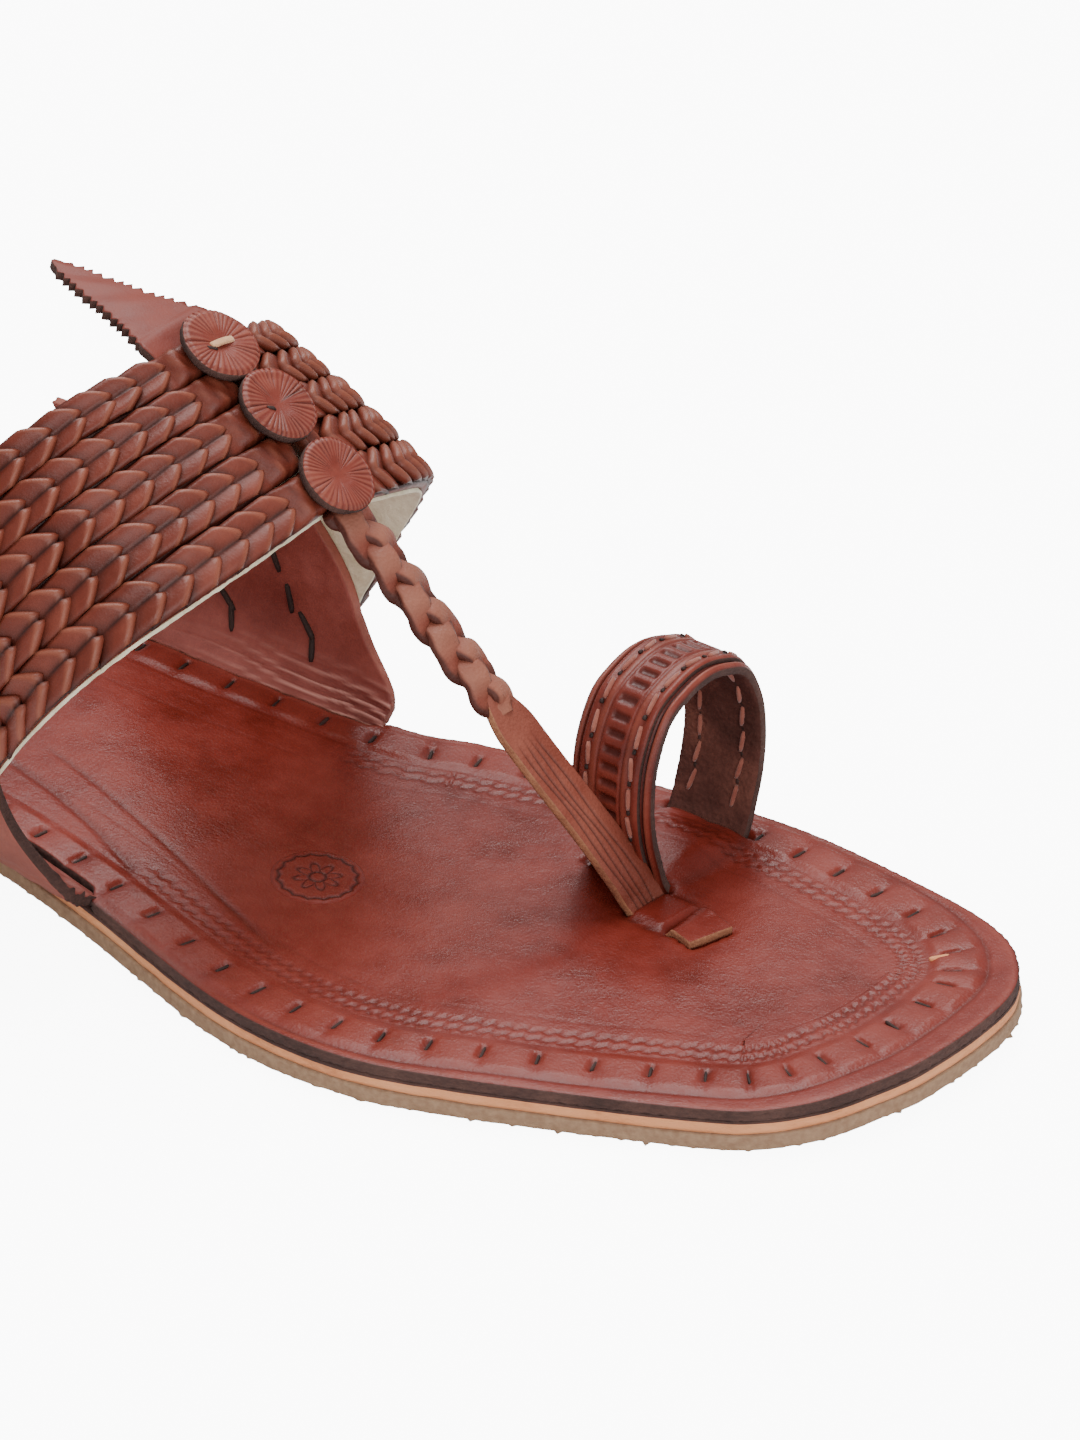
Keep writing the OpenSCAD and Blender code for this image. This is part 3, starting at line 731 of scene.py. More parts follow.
def set_out(name, piece, seats, turns, sizes, length, width, thickness, material, scatter=0.0, seed=1):
    """Copies of one small piece at the seats, each turned and sized, as one plain mesh."""
    cloud = bpy.data.meshes.new(name)
    cloud.from_pydata((np.asarray(seats) * MM).tolist(), [], [])
    for key, data in (("turn", turns), ("grow", sizes)):
        attribute = cloud.attributes.new(key, "FLOAT_VECTOR", "POINT")
        attribute.data.foreach_set("vector", np.asarray(data, np.float32).ravel())
    holder = bpy.data.objects.new(name, cloud)
    bpy.context.scene.collection.objects.link(holder)
    tree = bpy.data.node_groups.new(name + "_layout", "GeometryNodeTree")
    face = tree.interface
    face.new_socket("Seats", in_out="INPUT", socket_type="NodeSocketGeometry")
    face.new_socket("Piece", in_out="INPUT", socket_type="NodeSocketObject")
    for key, kind in (("Length", "NodeSocketFloat"), ("Width", "NodeSocketFloat"),
                      ("Thickness", "NodeSocketFloat"), ("Scatter", "NodeSocketFloat"),
                      ("Seed", "NodeSocketInt"), ("Material", "NodeSocketMaterial")):
        face.new_socket(key, in_out="INPUT", socket_type=kind)
    face.new_socket("Pieces", in_out="OUTPUT", socket_type="NodeSocketGeometry")
    nodes, links = tree.nodes, tree.links
    given = nodes.new("NodeGroupInput")
    points = nodes.new("GeometryNodeMeshToPoints")
    shape = nodes.new("GeometryNodeObjectInfo")
    turn = nodes.new("GeometryNodeInputNamedAttribute")
    turn.data_type = "FLOAT_VECTOR"
    turn.inputs["Name"].default_value = "turn"
    grow = nodes.new("GeometryNodeInputNamedAttribute")
    grow.data_type = "FLOAT_VECTOR"
    grow.inputs["Name"].default_value = "grow"
    size = nodes.new("ShaderNodeCombineXYZ")
    scaled = nodes.new("ShaderNodeVectorMath")
    scaled.operation = "MULTIPLY"
    jitter = nodes.new("FunctionNodeRandomValue")
    jitter.data_type = "FLOAT_VECTOR"
    jitter.inputs[0].default_value = (-1, -1, -1)
    jitter.inputs[1].default_value = (1, 1, 1)
    amount = nodes.new("ShaderNodeVectorMath")
    amount.operation = "SCALE"
    turned = nodes.new("ShaderNodeVectorMath")
    turned.operation = "ADD"
    rotation = nodes.new("FunctionNodeEulerToRotation")
    copies = nodes.new("GeometryNodeInstanceOnPoints")
    real = nodes.new("GeometryNodeRealizeInstances")
    finish_it = nodes.new("GeometryNodeSetMaterial")
    out = nodes.new("NodeGroupOutput")
    steps = ((given, "sizes of this set"), (points, "a place for each copy"), (shape, "the small piece"),
             (turn, "how each copy is turned"), (grow, "how each copy is sized"), (size, "size of the set"),
             (scaled, "size of each copy"), (jitter, "chance"), (amount, "how much chance"),
             (turned, "turned a little by chance"), (rotation, "as a rotation"), (copies, "set them out"),
             (real, "make them real"), (finish_it, "give them their finish"), (out, "the whole set"))
    for i, (node, says) in enumerate(steps):
        node.label = says
        node.location = (220 * i, -120 * (i % 3))
    links.new(given.outputs["Seats"], points.inputs["Mesh"])
    links.new(given.outputs["Piece"], shape.inputs["Object"])
    links.new(given.outputs["Length"], size.inputs["X"])
    links.new(given.outputs["Width"], size.inputs["Y"])
    links.new(given.outputs["Thickness"], size.inputs["Z"])
    links.new(grow.outputs["Attribute"], scaled.inputs[0])
    links.new(size.outputs["Vector"], scaled.inputs[1])
    links.new(given.outputs["Seed"], jitter.inputs["Seed"])
    links.new(jitter.outputs["Value"], amount.inputs[0])
    links.new(given.outputs["Scatter"], amount.inputs["Scale"])
    links.new(turn.outputs["Attribute"], turned.inputs[0])
    links.new(amount.outputs["Vector"], turned.inputs[1])
    links.new(turned.outputs["Vector"], rotation.inputs["Euler"])
    links.new(points.outputs["Points"], copies.inputs["Points"])
    links.new(shape.outputs["Geometry"], copies.inputs["Instance"])
    links.new(rotation.outputs["Rotation"], copies.inputs["Rotation"])
    links.new(scaled.outputs["Vector"], copies.inputs["Scale"])
    links.new(copies.outputs["Instances"], real.inputs["Geometry"])
    links.new(real.outputs["Geometry"], finish_it.inputs["Geometry"])
    links.new(given.outputs["Material"], finish_it.inputs["Material"])
    links.new(finish_it.outputs["Geometry"], out.inputs["Pieces"])
    layout = holder.modifiers.new("layout", "NODES")
    layout.node_group = tree
    settings = {"Piece": piece, "Length": float(length), "Width": float(width),
                "Thickness": float(thickness), "Scatter": float(scatter), "Seed": seed, "Material": material}
    for item in face.items_tree:
        if item.in_out == "INPUT" and item.name in settings:
            layout[item.identifier] = settings[item.name]
    bpy.context.view_layer.update()
    graph = bpy.context.evaluated_depsgraph_get()
    plain = bpy.data.meshes.new_from_object(holder.evaluated_get(graph), preserve_all_data_layers=True,
                                            depsgraph=graph)
    holder.modifiers.clear()
    holder.data = plain
    return holder


def euler_of(along, up):
    """Turns that point a piece's length along one direction and its top along another."""
    x = unit(np.asarray(along, float))
    z = unit(up - (np.asarray(up) * x).sum(-1, keepdims=True) * x)
    y = np.cross(z, x)
    return np.array([Matrix((a, b, c)).transposed().to_euler() for a, b, c in zip(x, y, z)])


def pillow_bar(name, material, round_share=0.35):
    """A small bar one millimetre each way with a crowned top, to be sized when it is set out."""
    shoulder = round_share * 0.4
    crown = ((0.5, -0.5), (0.5, 0.1), (0.25, 0.5), (-0.25, 0.5), (-0.5, 0.1), (-0.5, -0.5))
    points = []
    for x, w in ((-0.5, 0.55), (-0.5 + shoulder, 0.95), (0, 1.0), (0.5 - shoulder, 0.95), (0.5, 0.55)):
        points += [(x, y * w, z * (0.6 + 0.4 * w)) for y, z in crown]
    faces = band_faces(5, 6, True).tolist() + [list(range(5, -1, -1)), list(range(24, 30))]
    bar = to_mesh(name, points, faces, [material])
    weld(bar, 0.001)
    return bar


lace_dark = leather("lace_dark", (0.018, 0.009, 0.008), (0.034, 0.017, 0.014), (0.07, 0.034, 0.028),
                    0.4, 0.2, 0.4, 0.65, 0.0, 0.95)
lace_bar = pillow_bar("lace_bar", lace_dark)
slit_at = np.arange(slit_count) * slit_pitch
index = np.interp(slit_at, edge_run, np.arange(len(EDGE)))
seat_xy = at_run(index, np.arange(len(EDGE)), EDGE + EDGE_IN * row_in[:, None])
seat_in = EDGE_IN[np.round(index).astype(int) % len(EDGE)]
clear_of_ring = ~((np.abs(seat_xy[:, 0] - ring_centre[0]) < 9.5) & (seat_xy[:, 1] > 38))
seat_xy, seat_in = seat_xy[clear_of_ring], seat_in[clear_of_ring]
seats = np.column_stack([seat_xy, rise(seat_xy[:, 0]) + sole_top - 0.46])
bar_turns = euler_of(np.column_stack([seat_in, np.zeros(len(seats))]),
                     np.tile([0.0, 0.0, 1.0], (len(seats), 1)))
lacing = set_out("sole_lace", lace_bar, seats, bar_turns, np.ones((len(seats), 3)), 3.0, 0.62, 0.8, lace_dark,
                 scatter=0.12, seed=4)
chip = pillow_bar("lace_chip", natural_edge)
chip_at = Vector((113.8, 28.7, float(rise(np.array([113.8]))[0]) + sole_top + 0.1)) * MM
chip.data.transform(Matrix.Translation(chip_at) @ Matrix.Rotation(0.9, 4, "Z")
                    @ Matrix.Diagonal((3.4, 1.0, 0.8, 1)))
for made, title in ((lacing, "lace_dark"), (chip, "leather_natural")):
    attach(made, "sandal")
    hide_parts("sole_lacing")


# ---- Ears --------------------------------------------------------------------------------------
# Two wings cut with the top sole and bent up beside the instep.  Each is wrinkled where it
# folds, matt on the inside, pinkish outside, and its cut edge is rough and dark.

LATERAL, MEDIAL = -1, 1
ridge_y = 6.65
band_nose, band_tail = 13.3, -14.5
band_front_h, instep_gain, instep_fall = 66.0, 47.3, 48.5
wide_at = 0.7
ear_t = 2.4
ear_w = 50.0
ear_top = 0.58


def instep(x):
    return band_front_h + instep_gain * (1 - np.exp(-(band_nose - x) / instep_fall))


def form(side, u, x):
    """The foot the band is shaped on: u runs from the ridge (0) down to the sole (1)."""
    u, x = np.broadcast_arrays(np.asarray(u, float), np.asarray(x, float))
    beyond = np.maximum(0, -15 - x)
    half_w = 53 - 0.05 * beyond if side == LATERAL else 37.8 - 0.04 * beyond
    wide_z, power = (33.0, 0.92) if side == LATERAL else (24.0, 0.90)
    table = sorted(LATERAL_EDGE if side == LATERAL else MEDIAL_EDGE)
    foot_y = np.interp(x, [p[0] for p in table], [p[1] for p in table]) - side * ear_set
    foot_z = rise(x) + sole_top - 0.7 * topsole_t
    a = np.radians(90 * np.minimum(1, u / wide_at))
    b = np.radians(90 * np.maximum(0, (u - wide_at) / (1 - wide_at)))
    wide_y = ridge_y + side * half_w
    upper = np.stack([x, ridge_y + side * half_w * np.sin(a) ** power,
                      wide_z + (instep(x) - wide_z) * np.maximum(0, np.cos(a)) ** power], -1)
    lower = np.stack([x, foot_y + (wide_y - foot_y) * np.cos(b), wide_z - (wide_z - foot_z) * np.sin(b)], -1)
    return np.where((u <= wide_at)[..., None], upper, lower)


def outward(side, u, x):
    u = np.asarray(u, float)
    down = form(side, np.minimum(1, u + 0.004), x) - form(side, np.maximum(0.001, u - 0.004), x)
    ahead = form(side, u, x + 1) - form(side, u, x - 1)
    return unit(side * np.cross(ahead, down))


def lifted(side, u, x, lift):
    return form(side, u, x) + np.asarray(lift)[..., None] * outward(side, u, x)


def ear_front(side, u):
    return (-4 if side == LATERAL else 2) - 112 * (1 - u) ** 2


def rim_of(m, n):
    """Rows and columns of the points round the rim of an m by n grid, in order."""
    loop = ([(0, j) for j in range(n)] + [(i, n - 1) for i in range(1, m)]
            + [(m - 1, j) for j in range(n - 2, -1, -1)] + [(i, 0) for i in range(m - 2, 0, -1)])
    return np.array(loop).T


def cut_sheet(name, face, back, materials, dark_tone_and_painted_shade=None, painted_highlight=None, rim_steps=3, bulge=0.12, rough=0.08, seed=1):
    """A closed sheet between two grids of points: face, back, and a cut rim all round."""
    m, n = face.shape[:2]
    rng = np.random.default_rng(seed)
    rows, cols = rim_of(m, n)
    rim_count = len(rows)
    inner = (np.clip(rows, 1, m - 2), np.clip(cols, 1, n - 2))
    away = unit(face[rows, cols] - face[inner])
    points = [face.reshape(-1, 3), back.reshape(-1, 3)]
    for k in range(1, rim_steps + 1):
        t = k / (rim_steps + 1)
        mid = face[rows, cols] * (1 - t) + back[rows, cols] * t
        out = bulge * math.sin(math.pi * t) + rough * rng.normal(size=rim_count).clip(-1.6, 1.6)
        points.append(mid + away * out[:, None])
    size = m * n
    grid = band_faces(m, n, False)
    faces = [grid, (grid + size)[:, ::-1]]
    chain = [rows * n + cols] + [2 * size + k * rim_count + np.arange(rim_count) for k in range(rim_steps)]
    chain.append(size + rows * n + cols)
    for a, b in zip(chain[:-1], chain[1:]):
        faces.append(np.stack([a, b, np.roll(b, -1), np.roll(a, -1)], 1))
    kinds = ([0] * len(grid) + [1 % len(materials)] * len(grid)
             + [2 % len(materials)] * ((rim_steps + 1) * rim_count))
    total = 2 * size + rim_steps * rim_count
    # The face grid takes the painted shade and painted highlight amounts; the back and the rim get none.
    values = {"dark_tone_and_painted_shade": np.zeros(total), "painted_highlight": np.zeros(total)}
    for key, given in (("dark_tone_and_painted_shade", dark_tone_and_painted_shade), ("painted_highlight", painted_highlight)):
        if given is not None:
            values[key][:size] = np.clip(given, 0, 1).ravel()
    made = to_mesh(name, np.concatenate(points), np.concatenate(faces), materials, kinds, values)
    weld(made, 0.0005)
    return made


ear_inside = leather("ear_inside", (0.177, 0.035, 0.027), (0.257, 0.058, 0.044), (0.367, 0.102, 0.082),
                     0.5, 0.10, 0.30, 0.55, 0.05, 0.82)
ear_outside = leather("ear_outside", (0.203, 0.055, 0.040), (0.270, 0.078, 0.056), (0.378, 0.125, 0.093),
                      0.45, 0.14, 0.35, 0.62, 0.0, 0.85)
for side, title in ((LATERAL, "lateral"), (MEDIAL, "medial")):
    us = np.linspace(ear_top, 1, 64)[:, None]
    vs = np.linspace(0, 1, 72)[None, :]
    xs = ear_front(side, us) - ear_w * vs + 0.8 * np.sin(us * 31) * (1 - vs)
    fold = ease((us - 0.80) / 0.14)
    crumple = fold * np.exp(-((vs - 0.05) / 0.45) ** 2)
    wrinkle = crumple * (0.7 * np.sin(us * 150 + 9 * vs + 1.6 * np.sin(13 * vs))
                         + 0.5 * np.sin(us * 270 - 24 * vs + 1.9 * np.sin(19 * vs)))
    fillet = 3.4 * (1 - np.sqrt(1 - (0.98 * np.clip((us - 0.90) / 0.10, 0, 1)) ** 2))
    face = lifted(side, us + 0 * vs, xs, 0.25 * wrinkle)
    back = lifted(side, us + 0 * vs, xs, -ear_t + 0.5 - 0.6 * wrinkle - fillet)
    sink = ease((us - 0.93) / 0.07)
    back[..., 2] = back[..., 2] * (1 - sink) + (rise(back[..., 0]) + sole_top - 0.3) * sink
    pieces_of_ear = (back, face) if side == LATERAL else (back[:, ::-1], face[:, ::-1])
    # Painted shade over the crumpled lower front of each ear, and painted highlights on its wrinkle crests,
    # strong on the inner ear and faint on the outer.
    marks = crumple if side == LATERAL else crumple[:, ::-1]
    light = np.clip(wrinkle, 0, 1) if side == LATERAL else np.clip(wrinkle, 0, 1)[:, ::-1]
    ear_rim, ear_highlight = (dyed_edge, 0.2) if side == LATERAL else (ear_outside, 1.3)
    ear = cut_sheet("ear_" + title, *pieces_of_ear, [ear_inside, ear_outside, ear_rim], dark_tone_and_painted_shade=0.25 * marks,
                    painted_highlight=ear_highlight * light, rim_steps=4, bulge=0.1, rough=0.12, seed=7)
    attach(ear, "sandal")
    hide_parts("top_sole")


# ---- Ear lacing ----------------------------------------------------------------------------------
# Dark lace that sews each end of the band to its ear, seen inside the ear as slanting stitches.

for side, title in ((LATERAL, "lateral"), (MEDIAL, "medial")):
    seats, along, up = [], [], []
    for column in (14, 30, 43):
        for k in range(5):
            u = 0.615 + 0.05 * k
            x = ear_front(side, u) - column
            a = lifted(side, u + 0.024, x + 0.4 + 1.4 * (k % 2), -ear_t + 0.4)
            b = lifted(side, u - 0.024, x - 0.4, -ear_t + 0.4)
            seats.append((a + b) / 2)
            along.append(b - a)
            up.append(-outward(side, u, x))
    stitches = set_out("ear_lace_" + title, lace_bar, seats, euler_of(np.array(along), np.array(up)),
                       np.ones((len(seats), 3)), 5.2, 1.0, 0.9, lace_dark, scatter=0.12, seed=9)
    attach(stitches, "sandal")
    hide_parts("ear_lacing_" + title)
bpy.data.objects.remove(lace_bar)


# ---- Band lining ----------------------------------------------------------------------------------
# Cream suede glued under the plaited rows.  Its nap is the soft inside of the band, and its
# raw front edge shows as a thin pale line.

def band_front(side, u):
    return band_nose - 62.6 * u ** 2.35 if side == LATERAL else band_nose + 18.9 * u - 73.7 * u * u


def band_rear(side, u):
    return band_tail - 75 * u ** 1.67 if side == LATERAL else band_tail + 30.2 * u - 158 * u * u


def band_x(side, u, v):
    return band_front(side, u) * (1 - v) + band_rear(side, u) * v


def band_end(v):
    return 0.78 - 0.15 * v


def suede(name, base, pale):
    """Napped suede: soft, speckled, with brushed patches and a faint sheen."""
    m = bpy.data.materials.new(name)
    m.use_nodes = True
    tree = m.node_tree
    nodes, links = tree.nodes, tree.links
    nodes.clear()
    colour_frame = nodes.new("NodeFrame")
    colour_frame.label = "colour"
    nap_frame = nodes.new("NodeFrame")
    nap_frame.label = "nap"
    place = nodes.new("ShaderNodeTexCoord")
    place.label = "place on the lining"
    place.location = (-1000, 0)
    patches = nodes.new("ShaderNodeTexNoise")
    patches.label = "brushed patches"
    patches.location = (-760, 200)
    patches.parent = colour_frame
    patches.inputs["Scale"].default_value = 160
    patches.inputs["Detail"].default_value = 8
    patches.inputs["Roughness"].default_value = 0.7
    tone = nodes.new("ShaderNodeValToRGB")
    tone.label = "cream to shadowed cream"
    tone.location = (-520, 200)
    tone.parent = colour_frame
    tone.color_ramp.elements[0].position = 0.3
    tone.color_ramp.elements[0].color = (*base, 1)
    tone.color_ramp.elements[1].position = 0.62
    tone.color_ramp.elements[1].color = (*pale, 1)
    nap = nodes.new("ShaderNodeTexNoise")
    nap.label = "nap"
    nap.location = (-760, -200)
    nap.parent = nap_frame
    nap.inputs["Scale"].default_value = 1500
    nap.inputs["Detail"].default_value = 5
    relief = nodes.new("ShaderNodeBump")
    relief.label = "raise the nap"
    relief.location = (-320, -200)
    relief.parent = nap_frame
    relief.inputs["Strength"].default_value = 0.7
    relief.inputs["Distance"].default_value = 0.0003
    surface = nodes.new("ShaderNodeBsdfPrincipled")
    surface.label = "suede"
    surface.location = (0, 0)
    surface.inputs["Roughness"].default_value = 0.95
    surface.inputs["Sheen Weight"].default_value = 0.25
    out = nodes.new("ShaderNodeOutputMaterial")
    out.label = "surface"
    out.location = (280, 0)
    links.new(place.outputs["Object"], patches.inputs["Vector"])
    links.new(place.outputs["Object"], nap.inputs["Vector"])
    links.new(patches.outputs["Fac"], tone.inputs["Fac"])
    links.new(tone.outputs["Color"], surface.inputs["Base Color"])
    links.new(nap.outputs["Fac"], relief.inputs["Height"])
    links.new(relief.outputs["Normal"], surface.inputs["Normal"])
    links.new(surface.outputs["BSDF"], out.inputs["Surface"])
    return m


cream_suede = suede("cream_suede", (0.58, 0.49, 0.31), (0.92, 0.84, 0.62))
lining_gap, lining_t, under_plait = 0.15, 0.5, 0.7
ws = np.linspace(-1, 1, 141)
lining_faces = []
for lift in (lining_gap + lining_t, lining_gap):
    grid = np.zeros((len(ws), 26, 3))
    for j, v in enumerate(np.linspace(-0.006, 1.004, 26)):
        for side in (LATERAL, MEDIAL):
            here = ws < 0 if side == LATERAL else ws >= 0
            u = np.abs(ws[here]) * band_end(v)
            grid[here, j] = lifted(side, u, band_x(side, u, v), np.full(u.shape, lift))
    lining_faces.append(grid)
lining = cut_sheet("band_suede", *lining_faces, [cream_suede], rim_steps=2, bulge=0.1, rough=0.06)
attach(lining, "sandal")
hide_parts("band_lining")


# ---- Plaited rows ----------------------------------------------------------------------------------
# Five rows of wheat-ear plait each side: slit leather strips whose loops are pulled through
# one another, so that every link overlaps the next.  Near the discs the strip is left uncut.

plait_leather = leather("plait_leather", (0.105, 0.015, 0.007), (0.149, 0.025, 0.013), (0.218, 0.046, 0.026),
                        0.5, 0.16, 0.30, 0.44, 0.12, 0.80)
plait_lift, plait_t, rows_across, link_pitch = 1.6, 3.2, 5, 5.6
link_rows, link_columns = 8, 13
link_top = link_rows * link_columns
P, T = np.meshgrid(np.linspace(0, 1, link_rows), np.linspace(-1, 1, link_columns), indexing="ij")


def plait_link(name, split):
    """One link of the plait, one pitch long and two wide; split tells how clearly its two leaves part."""
    leaf_arch = (split * np.sqrt(np.clip(1 - (2.0 * np.abs(T) - 1.0) ** 2 * 0.92, 0, 1))
                 + (1 - split) * np.sqrt(1 - 0.92 * T * T))
    cleft = split * np.exp(-(T / 0.13) ** 2)
    link_x = -1.0 + 1.46 * P - 0.78 * np.abs(T) ** 1.35 * (0.55 + 0.45 * P) - 0.30 * cleft * P
    nose = 1 - np.clip((P - 0.80) / 0.20, 0, 1) ** 2
    link_z = -1.75 + 2.5 * P ** 0.85 + 1.2 * leaf_arch * (0.45 + 0.55 * nose) - 0.65 * (1 - nose)
    above = np.stack([link_x, T, link_z], -1).reshape(-1, 3)
    below = np.stack([link_x, 0.94 * T, np.minimum(link_z - 0.9, -0.6)], -1).reshape(-1, 3)
    grid = band_faces(link_rows, link_columns, False)
    rim = rim_of(link_rows, link_columns).T @ np.array([link_columns, 1])
    wall = np.stack([rim, rim + link_top, np.roll(rim + link_top, -1), np.roll(rim, -1)], 1)
    link_faces = np.concatenate([grid, (grid + link_top)[:, ::-1], wall])
    # Painted shade at the tucked-under tail of each link, in the notch between its leaves, along its sides and
    # all over its underside; a painted highlight along its leading edge.
    top_deep = 0.9 * (1 - ease(P / 0.5)) + 0.95 * cleft * ease((P - 0.15) / 0.4) + 0.45 * (np.abs(T) > 0.95)
    top_highlight = 0.55 * np.exp(-((P - 0.86) / 0.10) ** 2) * (1 - cleft)
    return to_mesh(name, np.concatenate([above, below]), link_faces, [plait_leather],
                   values={"dark_tone_and_painted_shade": np.concatenate([np.clip(top_deep, 0, 1).ravel(), np.ones(link_top)]),
                           "painted_highlight": np.concatenate([top_highlight.ravel(), np.zeros(link_top)])})


for side, title in ((LATERAL, "lateral"), (MEDIAL, "medial")):
    uncut = 6.0 if side == LATERAL else 4.0
    pitch_here = link_pitch if side == LATERAL else 4.1
    link = plait_link("link_" + title, 1.0 if side == LATERAL else 0.35)
    for row in range(rows_across):
        v0, v1 = row / rows_across, (row + 1) / rows_across
        middle = 0.5 * (v0 + v1)
        u = 0.012 + (band_end(middle) - 0.012) * np.linspace(0, 1, 500)
        mid_height = np.full(len(u), plait_lift + plait_t / 2)
        edge_a = lifted(side, u, band_x(side, u, v0), mid_height)
        edge_b = lifted(side, u, band_x(side, u, v1), mid_height)
        centre = (edge_a + edge_b) / 2
        half = np.linalg.norm(edge_b - edge_a, axis=1) / 2 - 0.15
        run = np.concatenate([[0], np.cumsum(np.linalg.norm(np.diff(centre, axis=0), axis=1))])
        rng = np.random.default_rng(40 + 10 * row + side)
        wander = rng.uniform(-0.4, 0.4)
        count = int((run[-1] - uncut - wander) / pitch_here)
        at = uncut + wander + pitch_here * (np.arange(count) + 0.5) + rng.uniform(-0.35, 0.35, count)
        seat = at_run(at, run, centre)
        ahead = at_run(at - 1.5, run, centre) - seat
        up = outward(side, np.interp(at, run, u), seat[:, 0])
        sizes = np.column_stack([1 + rng.uniform(-0.06, 0.06, count), np.interp(at, run, half),
                                 1 + rng.uniform(-0.1, 0.12, count)])
        links_made = set_out("plait_%s_%d" % (title, row + 1), link, seat, euler_of(ahead, up), sizes,
                             pitch_here, 1.0, 1.0, plait_leather, scatter=0.05, seed=row + 3)
        across = np.linspace(-1, 1, 15)
        run_in = np.interp(np.linspace(0, run[-1], 130), run, u)
        U, A = np.meshgrid(run_in, across, indexing="ij")
        v = middle + 0.5 * A * (v1 - v0) * 0.97
        S = np.interp(U, u, run)
        cut = ease((S - uncut + 1.5) / 3.0)
        crinkle = (0.16 * np.sin(1.9 * S + 2.2 * A + row)
                   + 0.12 * np.sin(3.7 * S - 4.1 * A + 2 * row)) * (1 - cut)
        rounded = np.sqrt(np.clip(1 - A ** 6, 0, 1))
        lift_top = plait_lift + (0.5 + 2.1 * rounded) * (1 - cut) + 0.8 * cut + crinkle
        x = band_x(side, U, v)
        face = lifted(side, U, x, lift_top)
        back = lifted(side, U, x, np.full(U.shape, lining_gap + under_plait))
        # Painted shade over the strip where the links cover it, along its sides and in its crinkle troughs;
        # painted highlights on the crinkle crests.
        marks = np.clip(0.9 * ease((S - uncut - 1.5) / 3.0) + 0.4 * (np.abs(A) > 0.93)
                        + np.clip(-1.5 * crinkle, 0, 0.4), 0, 1)
        light = np.clip(1.4 * crinkle, 0, 0.35)
        if side == MEDIAL:
            face, back, marks, light = (grid[:, ::-1] for grid in (face, back, marks, light))
        strip = cut_sheet("plait_strip_%s_%d" % (title, row + 1), face, back, [plait_leather], dark_tone_and_painted_shade=marks,
                          painted_highlight=light, rim_steps=1, bulge=0.1, rough=0.05, seed=row)
        for made in (links_made, strip):
            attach(made, "sandal")
            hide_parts("plait_%s_%d" % (title, row + 1))
    bpy.data.objects.remove(link)


# ---- Discs -------------------------------------------------------------------------------------
# Three thick leather discs on the centre line, their tops gathered into fine radial pleats.
# The rear one is tied down with a tan lace, the middle one folds at its tie.

disc_x, disc_r, disc_t, disc_lift = (10.8, 0.2, -10.3), 6.45, 2.0, 5.15
disc_leather = leather("disc_leather", (0.119, 0.017, 0.010), (0.176, 0.028, 0.017), (0.273, 0.063, 0.040),
                       0.5, 0.12, 0.22, 0.46, 0.10, 0.86)


def on_ridge(x):
    """The centre line over the band: a place on it, the way forward and the way up."""
    tilt = math.atan2(instep(x - 1) - instep(x + 1), 2)
    return (np.array([x, ridge_y, instep(x)]), np.array([math.cos(tilt), 0, -math.sin(tilt)]),
            np.array([math.sin(tilt), 0, math.cos(tilt)]))


